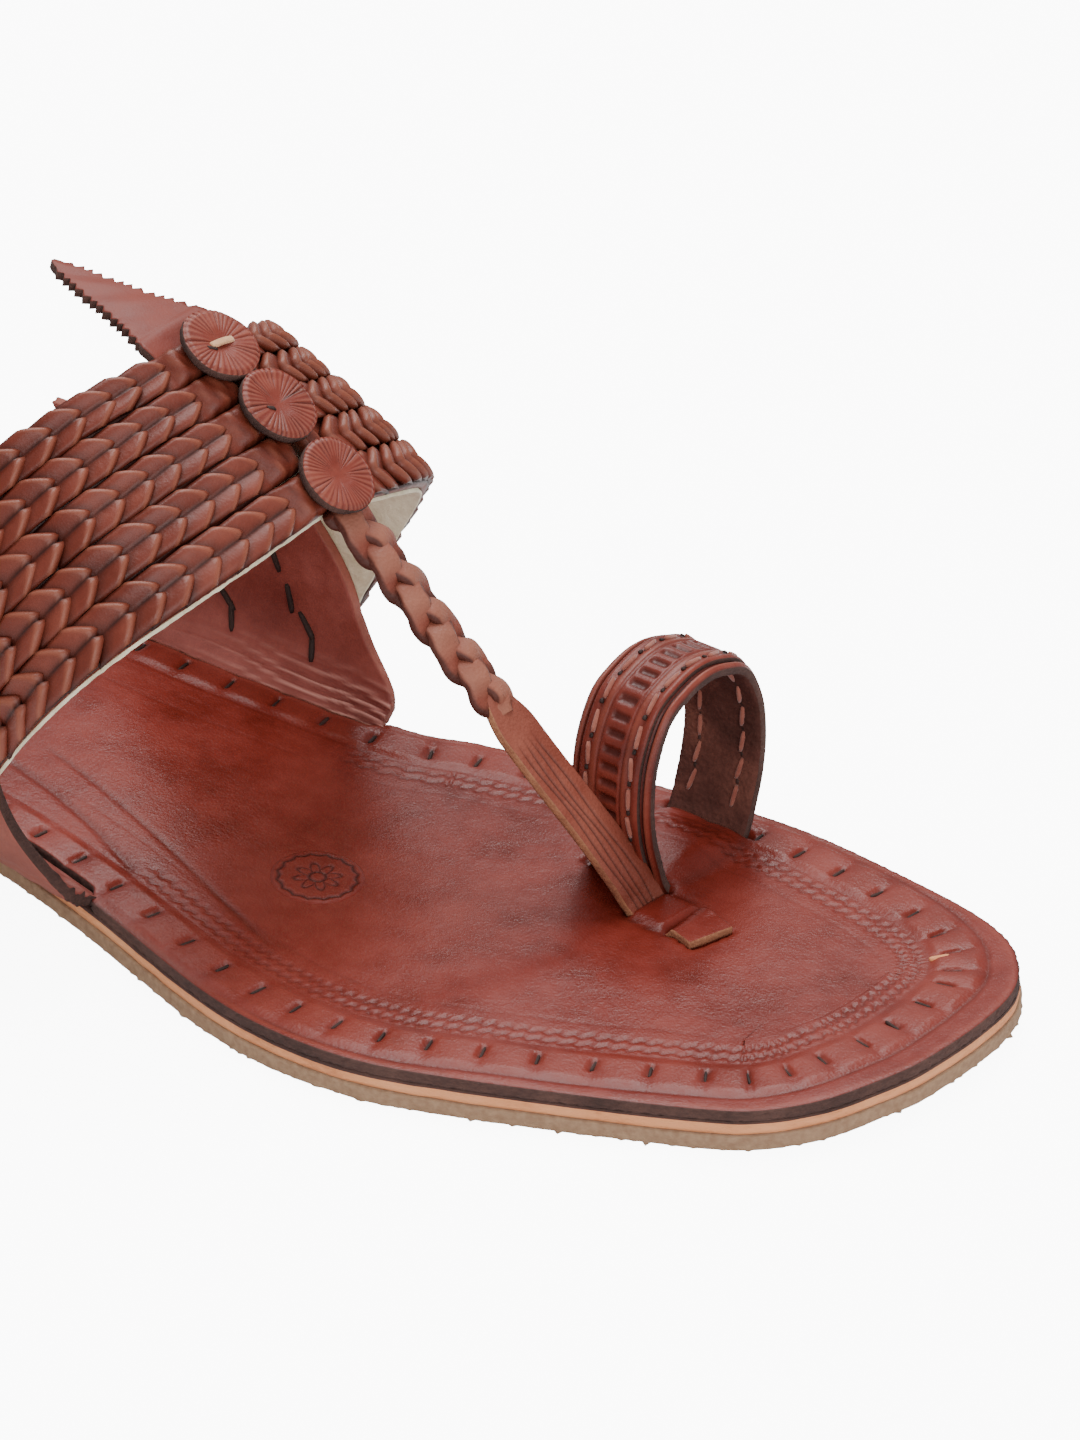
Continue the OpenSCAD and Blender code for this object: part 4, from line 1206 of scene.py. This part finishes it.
disc_steps, disc_rings = 264, 25
phi = np.arange(disc_steps) * 2 * math.pi / disc_steps
plain = np.zeros(disc_steps)
for number, (x, title) in enumerate(zip(disc_x, ("front", "middle", "rear"))):
    foot, fore, up = on_ridge(x)
    wobble = (0.5 * np.sin(2 * phi + number) + 0.35 * np.sin(3 * phi + 2 * number)
              + 0.25 * np.sin(5 * phi + 4 * number))
    phase = (40 - 3 * number) * phi + 4.5 * wobble
    strength = 0.12 + 0.88 * np.clip(0.5 + 0.5 * np.sin(11 * phi + 3 * number)
                                     + 0.5 * np.sin(7 * phi + 2 * number), 0, 1)
    outline = disc_r + 0.05 * np.sin(phase) * strength + 0.14 * wobble
    points, dark_tone_and_painted_shade, painted_highlight = [], [], []
    for r in np.concatenate([[0.0], np.linspace(0.25, 1.0, disc_rings - 1) ** 0.85]):
        ridge = 1 - np.abs(np.sin(phase / 2 + 0.5 * np.sin(3 * phi) * r))
        reach = ease((r - 0.06 - 0.22 * (0.5 + 0.5 * np.sin(5 * phi + number))) / 0.45)
        z = (disc_t - 0.75 * math.exp(-(r / 0.33) ** 2) - 0.30 * strength * reach * ridge ** 2
             - 0.42 * max(0, (r - 0.86) / 0.14) ** 2)
        px, py = outline * r * np.cos(phi), outline * r * np.sin(phi)
        # Painted shade in the grooves between the pleats; painted highlights on the pleat crests.
        mark = 0.5 * strength * reach * ridge ** 4
        if title == "middle":
            step = np.tanh((px + 0.5 - 0.12 * py) / 0.28)
            fold = ease((py + 2.2) / 1.0)
            z = z + 0.34 * fold * (step - 1) * 0.5 * ease((1.02 - r) / 0.3)
            # Painted shade along the middle disc's fold.
            mark = mark + 0.9 * fold * np.exp(-((px + 0.42 - 0.12 * py) / 0.2) ** 2) * (r < 0.96)
        points.append(np.stack([px, py, z], 1))
        dark_tone_and_painted_shade.append(mark)
        painted_highlight.append(0.34 * reach * (1 - ridge) ** 4 * (0.4 + 0.6 * r))
    for drop, out in ((0.35, 0.14), (0.9, 0.2), (1.5, 0.12), (1.98, -0.1)):
        rim_r = outline + out + 0.05 * np.sin(7 * phi + 9 * drop)
        points.append(np.stack([rim_r * np.cos(phi), rim_r * np.sin(phi), plain + disc_t - drop], 1))
        dark_tone_and_painted_shade.append(plain)
        painted_highlight.append(plain)
    points.append(np.tile([0, 0, 0.02], (disc_steps, 1)))
    dark_tone_and_painted_shade.append(plain)
    painted_highlight.append(plain)
    local = np.concatenate(points)
    placed = foot + local[:, :1] * fore + local[:, 1:2] * np.array([0, 1, 0]) + (local[:, 2:] + disc_lift) * up
    kinds = [0] * (disc_rings * disc_steps) + [1] * ((len(points) - disc_rings - 1) * disc_steps)
    wear = {"dark_tone_and_painted_shade": np.clip(np.concatenate(dark_tone_and_painted_shade), 0, 1), "painted_highlight": np.clip(np.concatenate(painted_highlight), 0, 1)}
    disc = to_mesh("disc_" + title, placed, band_faces(len(points), disc_steps, True),
                   [disc_leather, dyed_edge], kinds, wear)
    weld(disc, 0.002)
    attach(disc, "sandal")
    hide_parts("disc_" + title)


# ---- Disc laces -----------------------------------------------------------------------------------
# The lace that ties the discs down: a tan stitch across the rear disc. The slit at its end, and
# the short slit showing on the middle one, are dark bars of painted shade.

def swept(name, centres, across, normal, section, materials, kinds=None, closed=False, values=None):
    """A strip along a line of places; its section lists (across, normal) offsets at each place."""
    section = np.asarray(section, float)
    if section.ndim == 2:
        section = np.tile(section, (len(centres), 1, 1))
    points = centres[:, None] + across[:, None] * section[..., :1] + normal[:, None] * section[..., 1:]
    m, k = section.shape[:2]
    steps = np.arange(m if closed else m - 1)
    i, j = np.meshgrid(steps, np.arange(k), indexing="ij")
    ni, nj = (i + 1) % m, (j + 1) % k
    faces = np.stack([i * k + j, i * k + nj, ni * k + nj, ni * k + j], -1).reshape(-1, 4).tolist()
    tags = np.tile(kinds if kinds is not None else np.zeros(k, int), len(steps)).tolist()
    if not closed:
        faces += [list(range(k - 1, -1, -1)), list(range((m - 1) * k, m * k))]
        tags += [0, 0]
    return to_mesh(name, points.reshape(-1, 3), faces, materials, tags, values)


lace_tan = suede("lace_tan", (0.52, 0.24, 0.11), (0.74, 0.42, 0.22))
foot, fore, up = on_ridge(disc_x[2])
side_way = unit(0.18 * fore + np.array([0, 1.0, 0]))
thin_way = np.cross(side_way, up)
s = np.linspace(-2.3, 2.3, 15)
arch = disc_lift + disc_t - 0.35 + 0.35 * np.cos(s * 0.62)
lace = swept("tan_lace", foot + s[:, None] * side_way + arch[:, None] * up,
             np.tile(thin_way, (len(s), 1)), np.tile(up, (len(s), 1)),
             [(-0.55, -0.25), (0.55, -0.25), (0.6, 0.1), (0.35, 0.33), (-0.35, 0.33), (-0.6, 0.1)], [lace_tan])
slits = []
# Each slit is a small dark bar: painted shade in the cut.
for x, along_y, length in ((disc_x[2], -2.6, 1.5), (disc_x[1], -2.4, 1.3)):
    foot, fore, up = on_ridge(x)
    s = np.linspace(-length / 2, length / 2, 5)
    middle = foot + along_y * np.array([0, 1.0, 0]) + (disc_lift + disc_t - 0.28) * up
    slant = unit(0.55 * fore + np.array([0, 0.8, 0]))
    slits.append(swept("slit_end", middle + s[:, None] * slant, np.tile(fore, (len(s), 1)),
                       np.tile(up, (len(s), 1)), [(-0.32, -0.3), (0.32, -0.3), (0.32, 0.28), (-0.32, 0.28)],
                       [lace_dark]))
for made in [lace] + slits:
    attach(made, "sandal")
    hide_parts("disc_laces")


# ---- Leaf ------------------------------------------------------------------------------------------
# A long leaf cut with pinking shears and sewn under the back of the band.  Its free part bends
# at the band's rear edge.

leaf_leather = leather("leaf_leather", (0.134, 0.016, 0.009), (0.184, 0.029, 0.017), (0.243, 0.046, 0.028),
                       0.45, 0.10, 0.16, 0.5, 0.08, 0.84)
hinge_x, hinge_z, leaf_l, leaf_w, leaf_t = -16.2, 89.3, 24.5, 16.0, 1.5
leaf_slope = math.radians(12)
root_lift = 1.3
stations = [on_ridge(x)[0] + root_lift * on_ridge(x)[2] for x in (-10.3, -12.5)]
stations += [np.array([hinge_x - t * math.cos(leaf_slope), ridge_y,
                       hinge_z + t * math.sin(leaf_slope) + 0.0035 * max(0, t - 14) ** 2])
             for t in np.concatenate([[0], np.linspace(2, leaf_l, 14)])]
spine, leaf_run = evenly(curve_through(np.array(stations), 8, False), 190, False)
leaf_run = leaf_run - leaf_run[np.argmin(np.abs(spine[:, 0] - hinge_x))]
t = np.clip(leaf_run / leaf_l, 0, 1)
half = leaf_w / 2 * np.maximum(0, 1 - t) ** 0.8 * (1 - 0.18 * np.sin(math.pi * t)) + 0.35
tooth = np.abs((leaf_run / 1.7 + 0.12 * np.sin(leaf_run)) % 1 - 0.5) * 2
teeth = 1.15 * (tooth - 0.5) * ease((leaf_run - 0.5) / 1.5) * ease((leaf_l - 0.8 - leaf_run) / 2)
way = unit(np.gradient(spine, axis=0))
leaf_up = unit(np.cross(np.tile([0.0, 1.0, 0.0], (len(spine), 1)), way))
leaf_up *= np.sign(leaf_up[:, 2:])
a = np.linspace(-1, 1, 21)
offset = half[:, None] * a + teeth[:, None] * np.sign(a) * np.abs(a) ** 10
cup = (0.5 * (1 - a ** 2) * ease(leaf_run / 8)[:, None] * (1 - t)[:, None]
       + 0.08 * np.sin(leaf_run[:, None] * 0.9 + 3 * a))
leaf_faces = [spine[:, None] + offset[..., None] * np.array([0, 1.0, 0])
              + (lift + cup)[..., None] * leaf_up[:, None] for lift in (leaf_t / 2, -leaf_t / 2)]
# Painted shade along the cut edges of the leaf's faces.
near_cut = np.exp(-((1 - np.abs(a)) * half[:, None] / 0.35) ** 2)
leaf_made = cut_sheet("leaf", *leaf_faces, [leaf_leather, leaf_leather, dyed_edge], dark_tone_and_painted_shade=0.3 * near_cut,
                      rim_steps=1, bulge=0.02, rough=0.02)
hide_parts("leaf_root", "leaf_tongue")
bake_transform(leaf_made)


# ---- Toe thong -------------------------------------------------------------------------------------
# One strap split into three tails for most of its length and plaited; near the toes it is
# whole, grooved and flat, goes down through a slit, under the top sole, and shows its end.

thong_leather = leather("thong_leather", (0.160, 0.034, 0.020), (0.216, 0.052, 0.032), (0.288, 0.084, 0.053),
                        0.55, 0.45, 0.30, 0.55, 0.04, 0.86)
thong_points = np.array([[15.7, 7.05, 67], [24, 8, 58.9], [33.2, 8.9, 49], [42.4, 10.1, 39.6],
                         [51.4, 11.1, 29.8], [59.3, 12.8, 20.4], [63.6, 15.0, 13.1], [65.4, 16.7, 8.6],
                         [67, 17.2, 5.6], [69, 16.9, 3.7], [72, 16.5, 3.7], [74, 16.2, 5.6],
                         [75.7, 15.9, 6.9], [77.7, 15.2, 7.0], [80.7, 14.1, 6.9]])
curve, run = evenly(curve_through(thong_points, 12, False), 420, False)
way = unit(np.gradient(curve, axis=0))
wide = unit(np.array([0, -1.0, 0]) + way * way[:, 1:2])
thick = unit(np.cross(wide, way))
plait_stop = run[np.argmin(np.linalg.norm(curve - thong_points[3], axis=1))]
strand_steps, strand_pitch = 16, 23.0
round_strand = np.array([(math.copysign(abs(math.cos(b)) ** 0.8, math.cos(b)),
                          math.copysign(abs(math.sin(b)) ** 0.8, math.sin(b)))
                         for b in np.arange(strand_steps) * 2 * math.pi / strand_steps])
s = np.linspace(-1.0, plait_stop + 2.6, 230)
base_at = [at_run(s, run, field) for field in (curve, wide, thick)]
base_at[0][s < 0] += s[s < 0, None] * way[0]
for tail in range(3):
    turn = 2 * math.pi * (s / strand_pitch + tail / 3) + 0.12 * np.sin(s * 0.8 + tail)
    gather = 1 - 0.55 * ease((s - plait_stop + 2) / 4)
    centres = (base_at[0] + (1.95 * gather * np.sin(turn))[:, None] * base_at[1]
               + (0.95 * gather * np.sin(2 * turn) + 0.1)[:, None] * base_at[2])
    line = unit(np.gradient(centres, axis=0))
    flat_way = unit(np.cross(line, base_at[2]))
    lean = unit(base_at[2] + (0.35 * np.cos(turn))[:, None] * flat_way)
    flat_way = unit(np.cross(line, lean))
    taper = 1 - 0.35 * ease((s - plait_stop - 0.5) / 2)
    size = np.stack([2.55 + 0.12 * np.sin(1.7 * s + tail), 1.12 + 0.05 * np.sin(2.3 * s + 2 * tail)], 1)
    section = round_strand[None] * (size * taper[:, None])[:, None]
    crinkle = (np.sin(np.arange(strand_steps) * 2.1 + 0.9 * s[:, None] + tail)
               * np.sin(0.7 * s[:, None] + 2 * tail))
    section = section * (1 + 0.07 * crinkle)[..., None]
    # Painted shade where a tail passes under the others and on its narrow sides; a painted highlight on its top
    # where it crosses over.
    low = (np.clip(-1.3 * np.sin(2 * turn) - 0.25, 0, 1)[:, None] * np.ones(strand_steps)
           + 0.8 * (np.abs(round_strand[:, 0]) > 0.85))
    high = np.clip(0.8 * np.sin(2 * turn) - 0.1, 0, 1)[:, None] * (round_strand[:, 1] > 0.6)
    strand = swept("thong_tail_%d" % (tail + 1), centres, flat_way, np.cross(line, flat_way) * -1, section,
                   [thong_leather], values={"dark_tone_and_painted_shade": np.clip(low, 0, 0.9).ravel(), "painted_highlight": (0.5 * high).ravel()})
    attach(strand, "sandal")
    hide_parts("toe_thong")
keep = run > plait_stop - 5.0
flat_run = run[keep]
flat_half = 4.2 - 2.3 * (1 - ease((flat_run - plait_stop + 4.0) / 10))
b = np.linspace(-1, 1, 41)
groove_share = (ease((flat_run - plait_stop - 6) / 6)
                * ease((flat_run[-1] - flat_run) / 3 - 1.5))[:, None]
surface_end = run[np.argmax(curve[:, 2] < 4.6)]
grooves = sum(np.exp(-((b - g - 0.05 * np.sin(flat_run[:, None] * 0.35 + 5 * g)) / 0.045) ** 2)
              for g in (-0.4, -0.02, 0.3, 0.62))
fat = 0.75 + 0.9 * (1 - ease((flat_run - plait_stop + 3.0) / 9))[:, None] * (1 - b ** 2)
faces = []
for sign in (1, -1):
    lift = sign * fat - (0.36 * groove_share * grooves if sign > 0 else 0)
    faces.append(curve[keep][:, None] + (flat_half[:, None] * b)[..., None] * wide[keep][:, None]
                 + lift[..., None] * thick[keep][:, None])
thong_edge = cut_edge("thong_edge", (0.13, 0.030, 0.020), (0.30, 0.11, 0.055), (0.50, 0.22, 0.11), 500, 0.8)
# Painted shade in the grooves of the flat part.
grooves = 0.8 * groove_share * grooves
down = int(np.argmax(flat_run > surface_end)) + 4
for title, part, top, rim in (("thong_flat", slice(None, down), thong_leather, thong_edge),
                              ("thong_end", slice(down - 6, None), sole_leather, thong_edge)):
    flat_thong = cut_sheet(title, faces[0][part], faces[1][part], [top, top, rim], dark_tone_and_painted_shade=grooves[part],
                           rim_steps=2, bulge=0.08, rough=0.05)
    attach(flat_thong, "sandal")
    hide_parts("toe_thong")


# ---- Toe ring --------------------------------------------------------------------------------------
# A loop of thick leather for the big toe: a base strap with beaded rims and a rough flesh
# inside, its two ends passed under the top sole.

ring_x, ring_y = ring_centre
ring_t, overlay_w, overlay_t = 1.6, 11.8, 1.0
ring_side = [[10.4, 7.4], [12.2, 12], [13.8, 17.5], [14.4, 24], [13.4, 31], [10, 37.2], [5.3, 39.7]]
ring_points = ([[0, 3.65], [7, 3.8]] + ring_side + [[0, 40.7]]
               + [[-p, q] for p, q in ring_side[::-1]] + [[-7, 3.8]])
loop = evenly(curve_through(np.array([[0, p, q] for p, q in ring_points], float), 12, True), 360, True)[0]
tangent = unit(np.roll(loop, -1, 0) - np.roll(loop, 1, 0))
away = np.stack([0 * tangent[:, 0], tangent[:, 2], -tangent[:, 1]], 1)


def in_ring(local):
    """From the ring's own upright place to where it stands on the sole."""
    c, s = math.cos(ring_turn), math.sin(ring_turn)
    local = np.asarray(local, float)
    return np.stack([ring_x + c * local[..., 0] - s * local[..., 1],
                     ring_y + s * local[..., 0] + c * local[..., 1], local[..., 2]], -1)


def turned_in_ring(direction):
    return in_ring(direction) - in_ring(np.zeros(3))


ring_leather = leather("ring_leather", (0.104, 0.013, 0.008), (0.178, 0.028, 0.017), (0.268, 0.058, 0.035),
                       0.5, 0.16, 0.30, 0.42, 0.12, 0.86)
ring_flesh = leather("ring_flesh", (0.047, 0.017, 0.012), (0.098, 0.033, 0.025), (0.205, 0.077, 0.055),
                     0.9, 0.8, 0.9, 0.9, 0.0, 0.95)
x_out = np.concatenate([np.linspace(-7.9, -5.4, 15), np.linspace(-4.5, 4.5, 5), np.linspace(5.4, 7.9, 15)])
bead = (0.42 * np.exp(-((np.abs(x_out) - 7.05) / 0.42) ** 4)
        - 0.34 * np.exp(-((np.abs(x_out) - 6.28) / 0.22) ** 2))
outer_side = [(x, ring_t / 2 + d - 0.5 * max(0, abs(x) - 7.6)) for x, d in zip(x_out, bead)]
inner_side_points = [(x, -ring_t / 2 + 0.25 * (abs(x) > 7.7)) for x in np.linspace(7.75, -7.75, 17)]
section = np.array(outer_side + inner_side_points)
rng = np.random.default_rng(5)
nap = np.zeros((len(loop), len(section)))
nap[:, len(outer_side):] = rng.uniform(-0.12, 0.04, (len(loop), len(inner_side_points)))
sections = np.tile(section, (len(loop), 1, 1))
sections[..., 1] += nap
kinds = [0] * (len(outer_side) - 1) + [2] + [1] * (len(inner_side_points) - 1) + [2]
# Painted shade in the groove inside each bead and on the outer edges; a painted highlight along each bead.
marks = np.zeros(nap.shape)
marks[:, :len(outer_side)] = 0.9 * np.exp(-((np.abs(x_out) - 6.28) / 0.26) ** 2) + 0.5 * (np.abs(x_out) > 7.6)
painted_highlights = np.zeros(nap.shape)
painted_highlights[:, :len(outer_side)] = 0.22 * np.exp(-((np.abs(x_out) - 7.05) / 0.3) ** 2)
base = swept("toe_ring_base", in_ring(loop), np.tile(turned_in_ring([1.0, 0, 0]), (len(loop), 1)),
             turned_in_ring(away), sections, [ring_leather, ring_flesh, dyed_edge], kinds, True,
             {"dark_tone_and_painted_shade": marks.ravel(), "painted_highlight": painted_highlights.ravel()})
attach(base, "sandal")
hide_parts("toe_ring_base")


# ---- Toe ring overlay --------------------------------------------------------------------------------
# A narrower strip sewn over the ring, stamped down its middle with a ladder of bars darkened by painted shade.

above = np.where(loop[:, 2] > 7.2)[0]
piece, piece_run = evenly(loop[above[0]:above[-1] + 1], 300, False)
piece_way = unit(np.gradient(piece, axis=0))
piece_out = np.stack([0 * piece_way[:, 0], piece_way[:, 2], -piece_way[:, 1]], 1)
xs = np.linspace(-overlay_w / 2, overlay_w / 2, 49)
pitch = piece_run[-1] / round(piece_run[-1] / 2.6)
phase = np.abs((piece_run / pitch) % 1 - 0.5)[:, None] * pitch
bars = 1 / (1 + np.exp((phase - 0.58) / 0.09)) / (1 + np.exp((np.abs(xs) - 1.65) / 0.14))
border = np.exp(-((np.abs(xs) - 2.45) / 0.2) ** 2) * 0.35
seam = np.exp(-((np.abs(xs) - 4.3) / 0.55) ** 2) * 0.25
edge_round = 0.35 * np.clip((np.abs(xs) - 5.3) / 0.6, 0, 1) ** 2
top = ring_t / 2 + 0.02 + overlay_t + 0.12 - 0.55 * bars - border - seam - edge_round
sheets = [in_ring(piece[:, None] + xs[None, :, None] * np.array([1.0, 0, 0])
                  + (lift + 0 * bars)[..., None] * piece_out[:, None])[::-1]
          for lift in (top, ring_t / 2 + 0.02)]
# A painted highlight on the raised band between the ladder and the stitching.
raised_band_highlight = 0.16 * np.exp(-((np.abs(xs) - 3.2) / 0.5) ** 2) + 0 * bars
# Painted shade in the ladder's bars, along its border and in the stitching groove.
overlay = cut_sheet("toe_ring_overlay", *sheets, [ring_leather, ring_leather, dyed_edge],
                    dark_tone_and_painted_shade=(0.7 * bars + 0.4 * border + 0.25 * seam)[::-1], painted_highlight=raised_band_highlight[::-1],
                    rim_steps=2, bulge=0.08, rough=0.04)
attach(overlay, "sandal")
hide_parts("toe_ring_overlay")


# ---- Toe ring stitching --------------------------------------------------------------------------------
# Two rows of thick pinkish thread go right through overlay and base and show again on the inside.
# Between one stitch and the next a small dark bar stands in the hole: painted shade.

thread_pink = suede("thread_pink", (0.216, 0.050, 0.033), (0.336, 0.113, 0.077))
stitch = pillow_bar("one_stitch", thread_pink, 0.5)
# A small dark bar in each stitch hole: painted shade.
pit_shade = pillow_bar("one_hole", lace_dark, 0.5)
stitch_gap = 4.9
seats, along, up, hole_seats, hole_up, hole_along = [], [], [], [], [], []
for x in (-4.3, 4.3):
    for lift in (ring_t / 2 + overlay_t + 0.02, -ring_t / 2 - 0.12):
        shift = 0 if lift > 0 else stitch_gap / 2
        for s in np.arange(stitch_gap * 0.6 + shift, piece_run[-1] - 1.5, stitch_gap):
            centre, way_s, out_s = [at_run([s], piece_run, field)[0] for field in (piece, piece_way, piece_out)]
            lean = way_s + 0.12 * np.array([1.0, 0, 0])
            seats.append(in_ring(centre + np.array([x, 0, 0]) + lift * out_s))
            along.append(turned_in_ring(lean))
            up.append(turned_in_ring(np.sign(lift) * out_s))
            hole_seats.append(in_ring(centre + way_s * stitch_gap / 2 + np.array([x, 0, 0])
                                      + (lift - 0.12 * np.sign(lift)) * out_s))
            hole_along.append(turned_in_ring(way_s))
            hole_up.append(turned_in_ring(np.sign(lift) * out_s))
sewn = set_out("ring_stitches", stitch, seats, euler_of(np.array(along), np.array(up)),
               np.ones((len(seats), 3)), 3.7, 0.8, 0.75, thread_pink, scatter=0.14, seed=11)
pit_shades = set_out("ring_holes", pit_shade, hole_seats, euler_of(np.array(hole_along), np.array(hole_up)),
                np.ones((len(hole_seats), 3)), 0.8, 0.7, 0.4, lace_dark, scatter=0.15, seed=12)
for made, title in ((sewn, "thread_pink"), (pit_shades, "lace_dark")):
    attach(made, "sandal")
    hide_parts("toe_ring_stitching")
bpy.data.objects.remove(stitch)
bpy.data.objects.remove(pit_shade)


# ---- Floor, light and camera --------------------------------------------------------------
# A pale floor and large soft lights, with the camera at a low three-quarter view.

floor_paint = bpy.data.materials.new("floor_paint")
floor_paint.use_nodes = True
nodes, links = floor_paint.node_tree.nodes, floor_paint.node_tree.links
nodes.clear()
glow_frame = nodes.new("NodeFrame")
glow_frame.label = "white paper"
ray = nodes.new("ShaderNodeLightPath")
ray.label = "only as seen, so it does not light the sandal"
ray.location = (-600, -300)
ray.parent = glow_frame
glow = nodes.new("ShaderNodeMath")
glow.label = "how white"
glow.location = (-300, -300)
glow.parent = glow_frame
glow.operation = "MULTIPLY"
glow.inputs[1].default_value = 9.0
surface = nodes.new("ShaderNodeBsdfPrincipled")
surface.label = "matt floor"
surface.location = (0, 0)
surface.inputs["Base Color"].default_value = (0.93, 0.93, 0.93, 1)
surface.inputs["Roughness"].default_value = 0.9
surface.inputs["Emission Color"].default_value = (1, 1, 1, 1)
out = nodes.new("ShaderNodeOutputMaterial")
out.label = "surface"
out.location = (300, 0)
links.new(ray.outputs["Is Camera Ray"], glow.inputs[0])
links.new(glow.outputs["Value"], surface.inputs["Emission Strength"])
links.new(surface.outputs["BSDF"], out.inputs["Surface"])
bpy.ops.mesh.primitive_plane_add(size=12, location=(0, 0, -0.0004))
floor = bpy.context.object
floor.name = "floor"
floor.data.materials.append(floor_paint)

world = bpy.data.worlds.new("studio")
bpy.context.scene.world = world
world.use_nodes = True
world.node_tree.nodes["Background"].inputs["Color"].default_value = (1, 1, 1, 1)
world.node_tree.nodes["Background"].inputs["Strength"].default_value = 0.5


def softbox(name, place, aim, size, power):
    light = bpy.data.lights.new(name, "AREA")
    light.shape = "RECTANGLE"
    light.size, light.size_y = size
    light.energy = power
    lamp = bpy.data.objects.new(name, light)
    bpy.context.scene.collection.objects.link(lamp)
    lamp.location = place
    lamp.rotation_euler = (Vector(aim) - Vector(place)).to_track_quat("-Z", "Y").to_euler()


softbox("overhead", (-0.25, 0.35, 1.3), (0, 0, 0.03), (0.8, 0.8), 18)
softbox("rear_sheen", (-0.45, 0.92, 1.14), (0.0, 0, 0.01), (0.26, 0.2), 4.2)
softbox("front_fill", (0.9, -0.7, 0.7), (0.02, 0, 0.03), (0.8, 0.8), 10)

view_azimuth, view_elevation = math.radians(34), math.radians(30)
aim = Vector((51.92, 8.7, 39.8)) * MM
back = Vector((math.sin(view_azimuth) * math.cos(view_elevation),
               -math.cos(view_azimuth) * math.cos(view_elevation), math.sin(view_elevation)))
camera_data = bpy.data.cameras.new("camera")
camera_data.lens = 160
camera_data.sensor_width = 36
camera_data.clip_start = 0.05
camera_data.clip_end = 20
camera = bpy.data.objects.new("camera", camera_data)
bpy.context.scene.collection.objects.link(camera)
camera.location = aim + back
camera.rotation_mode = "QUATERNION"
camera.rotation_quaternion = (-back).to_track_quat("-Z", "Y")
bpy.context.scene.camera = camera
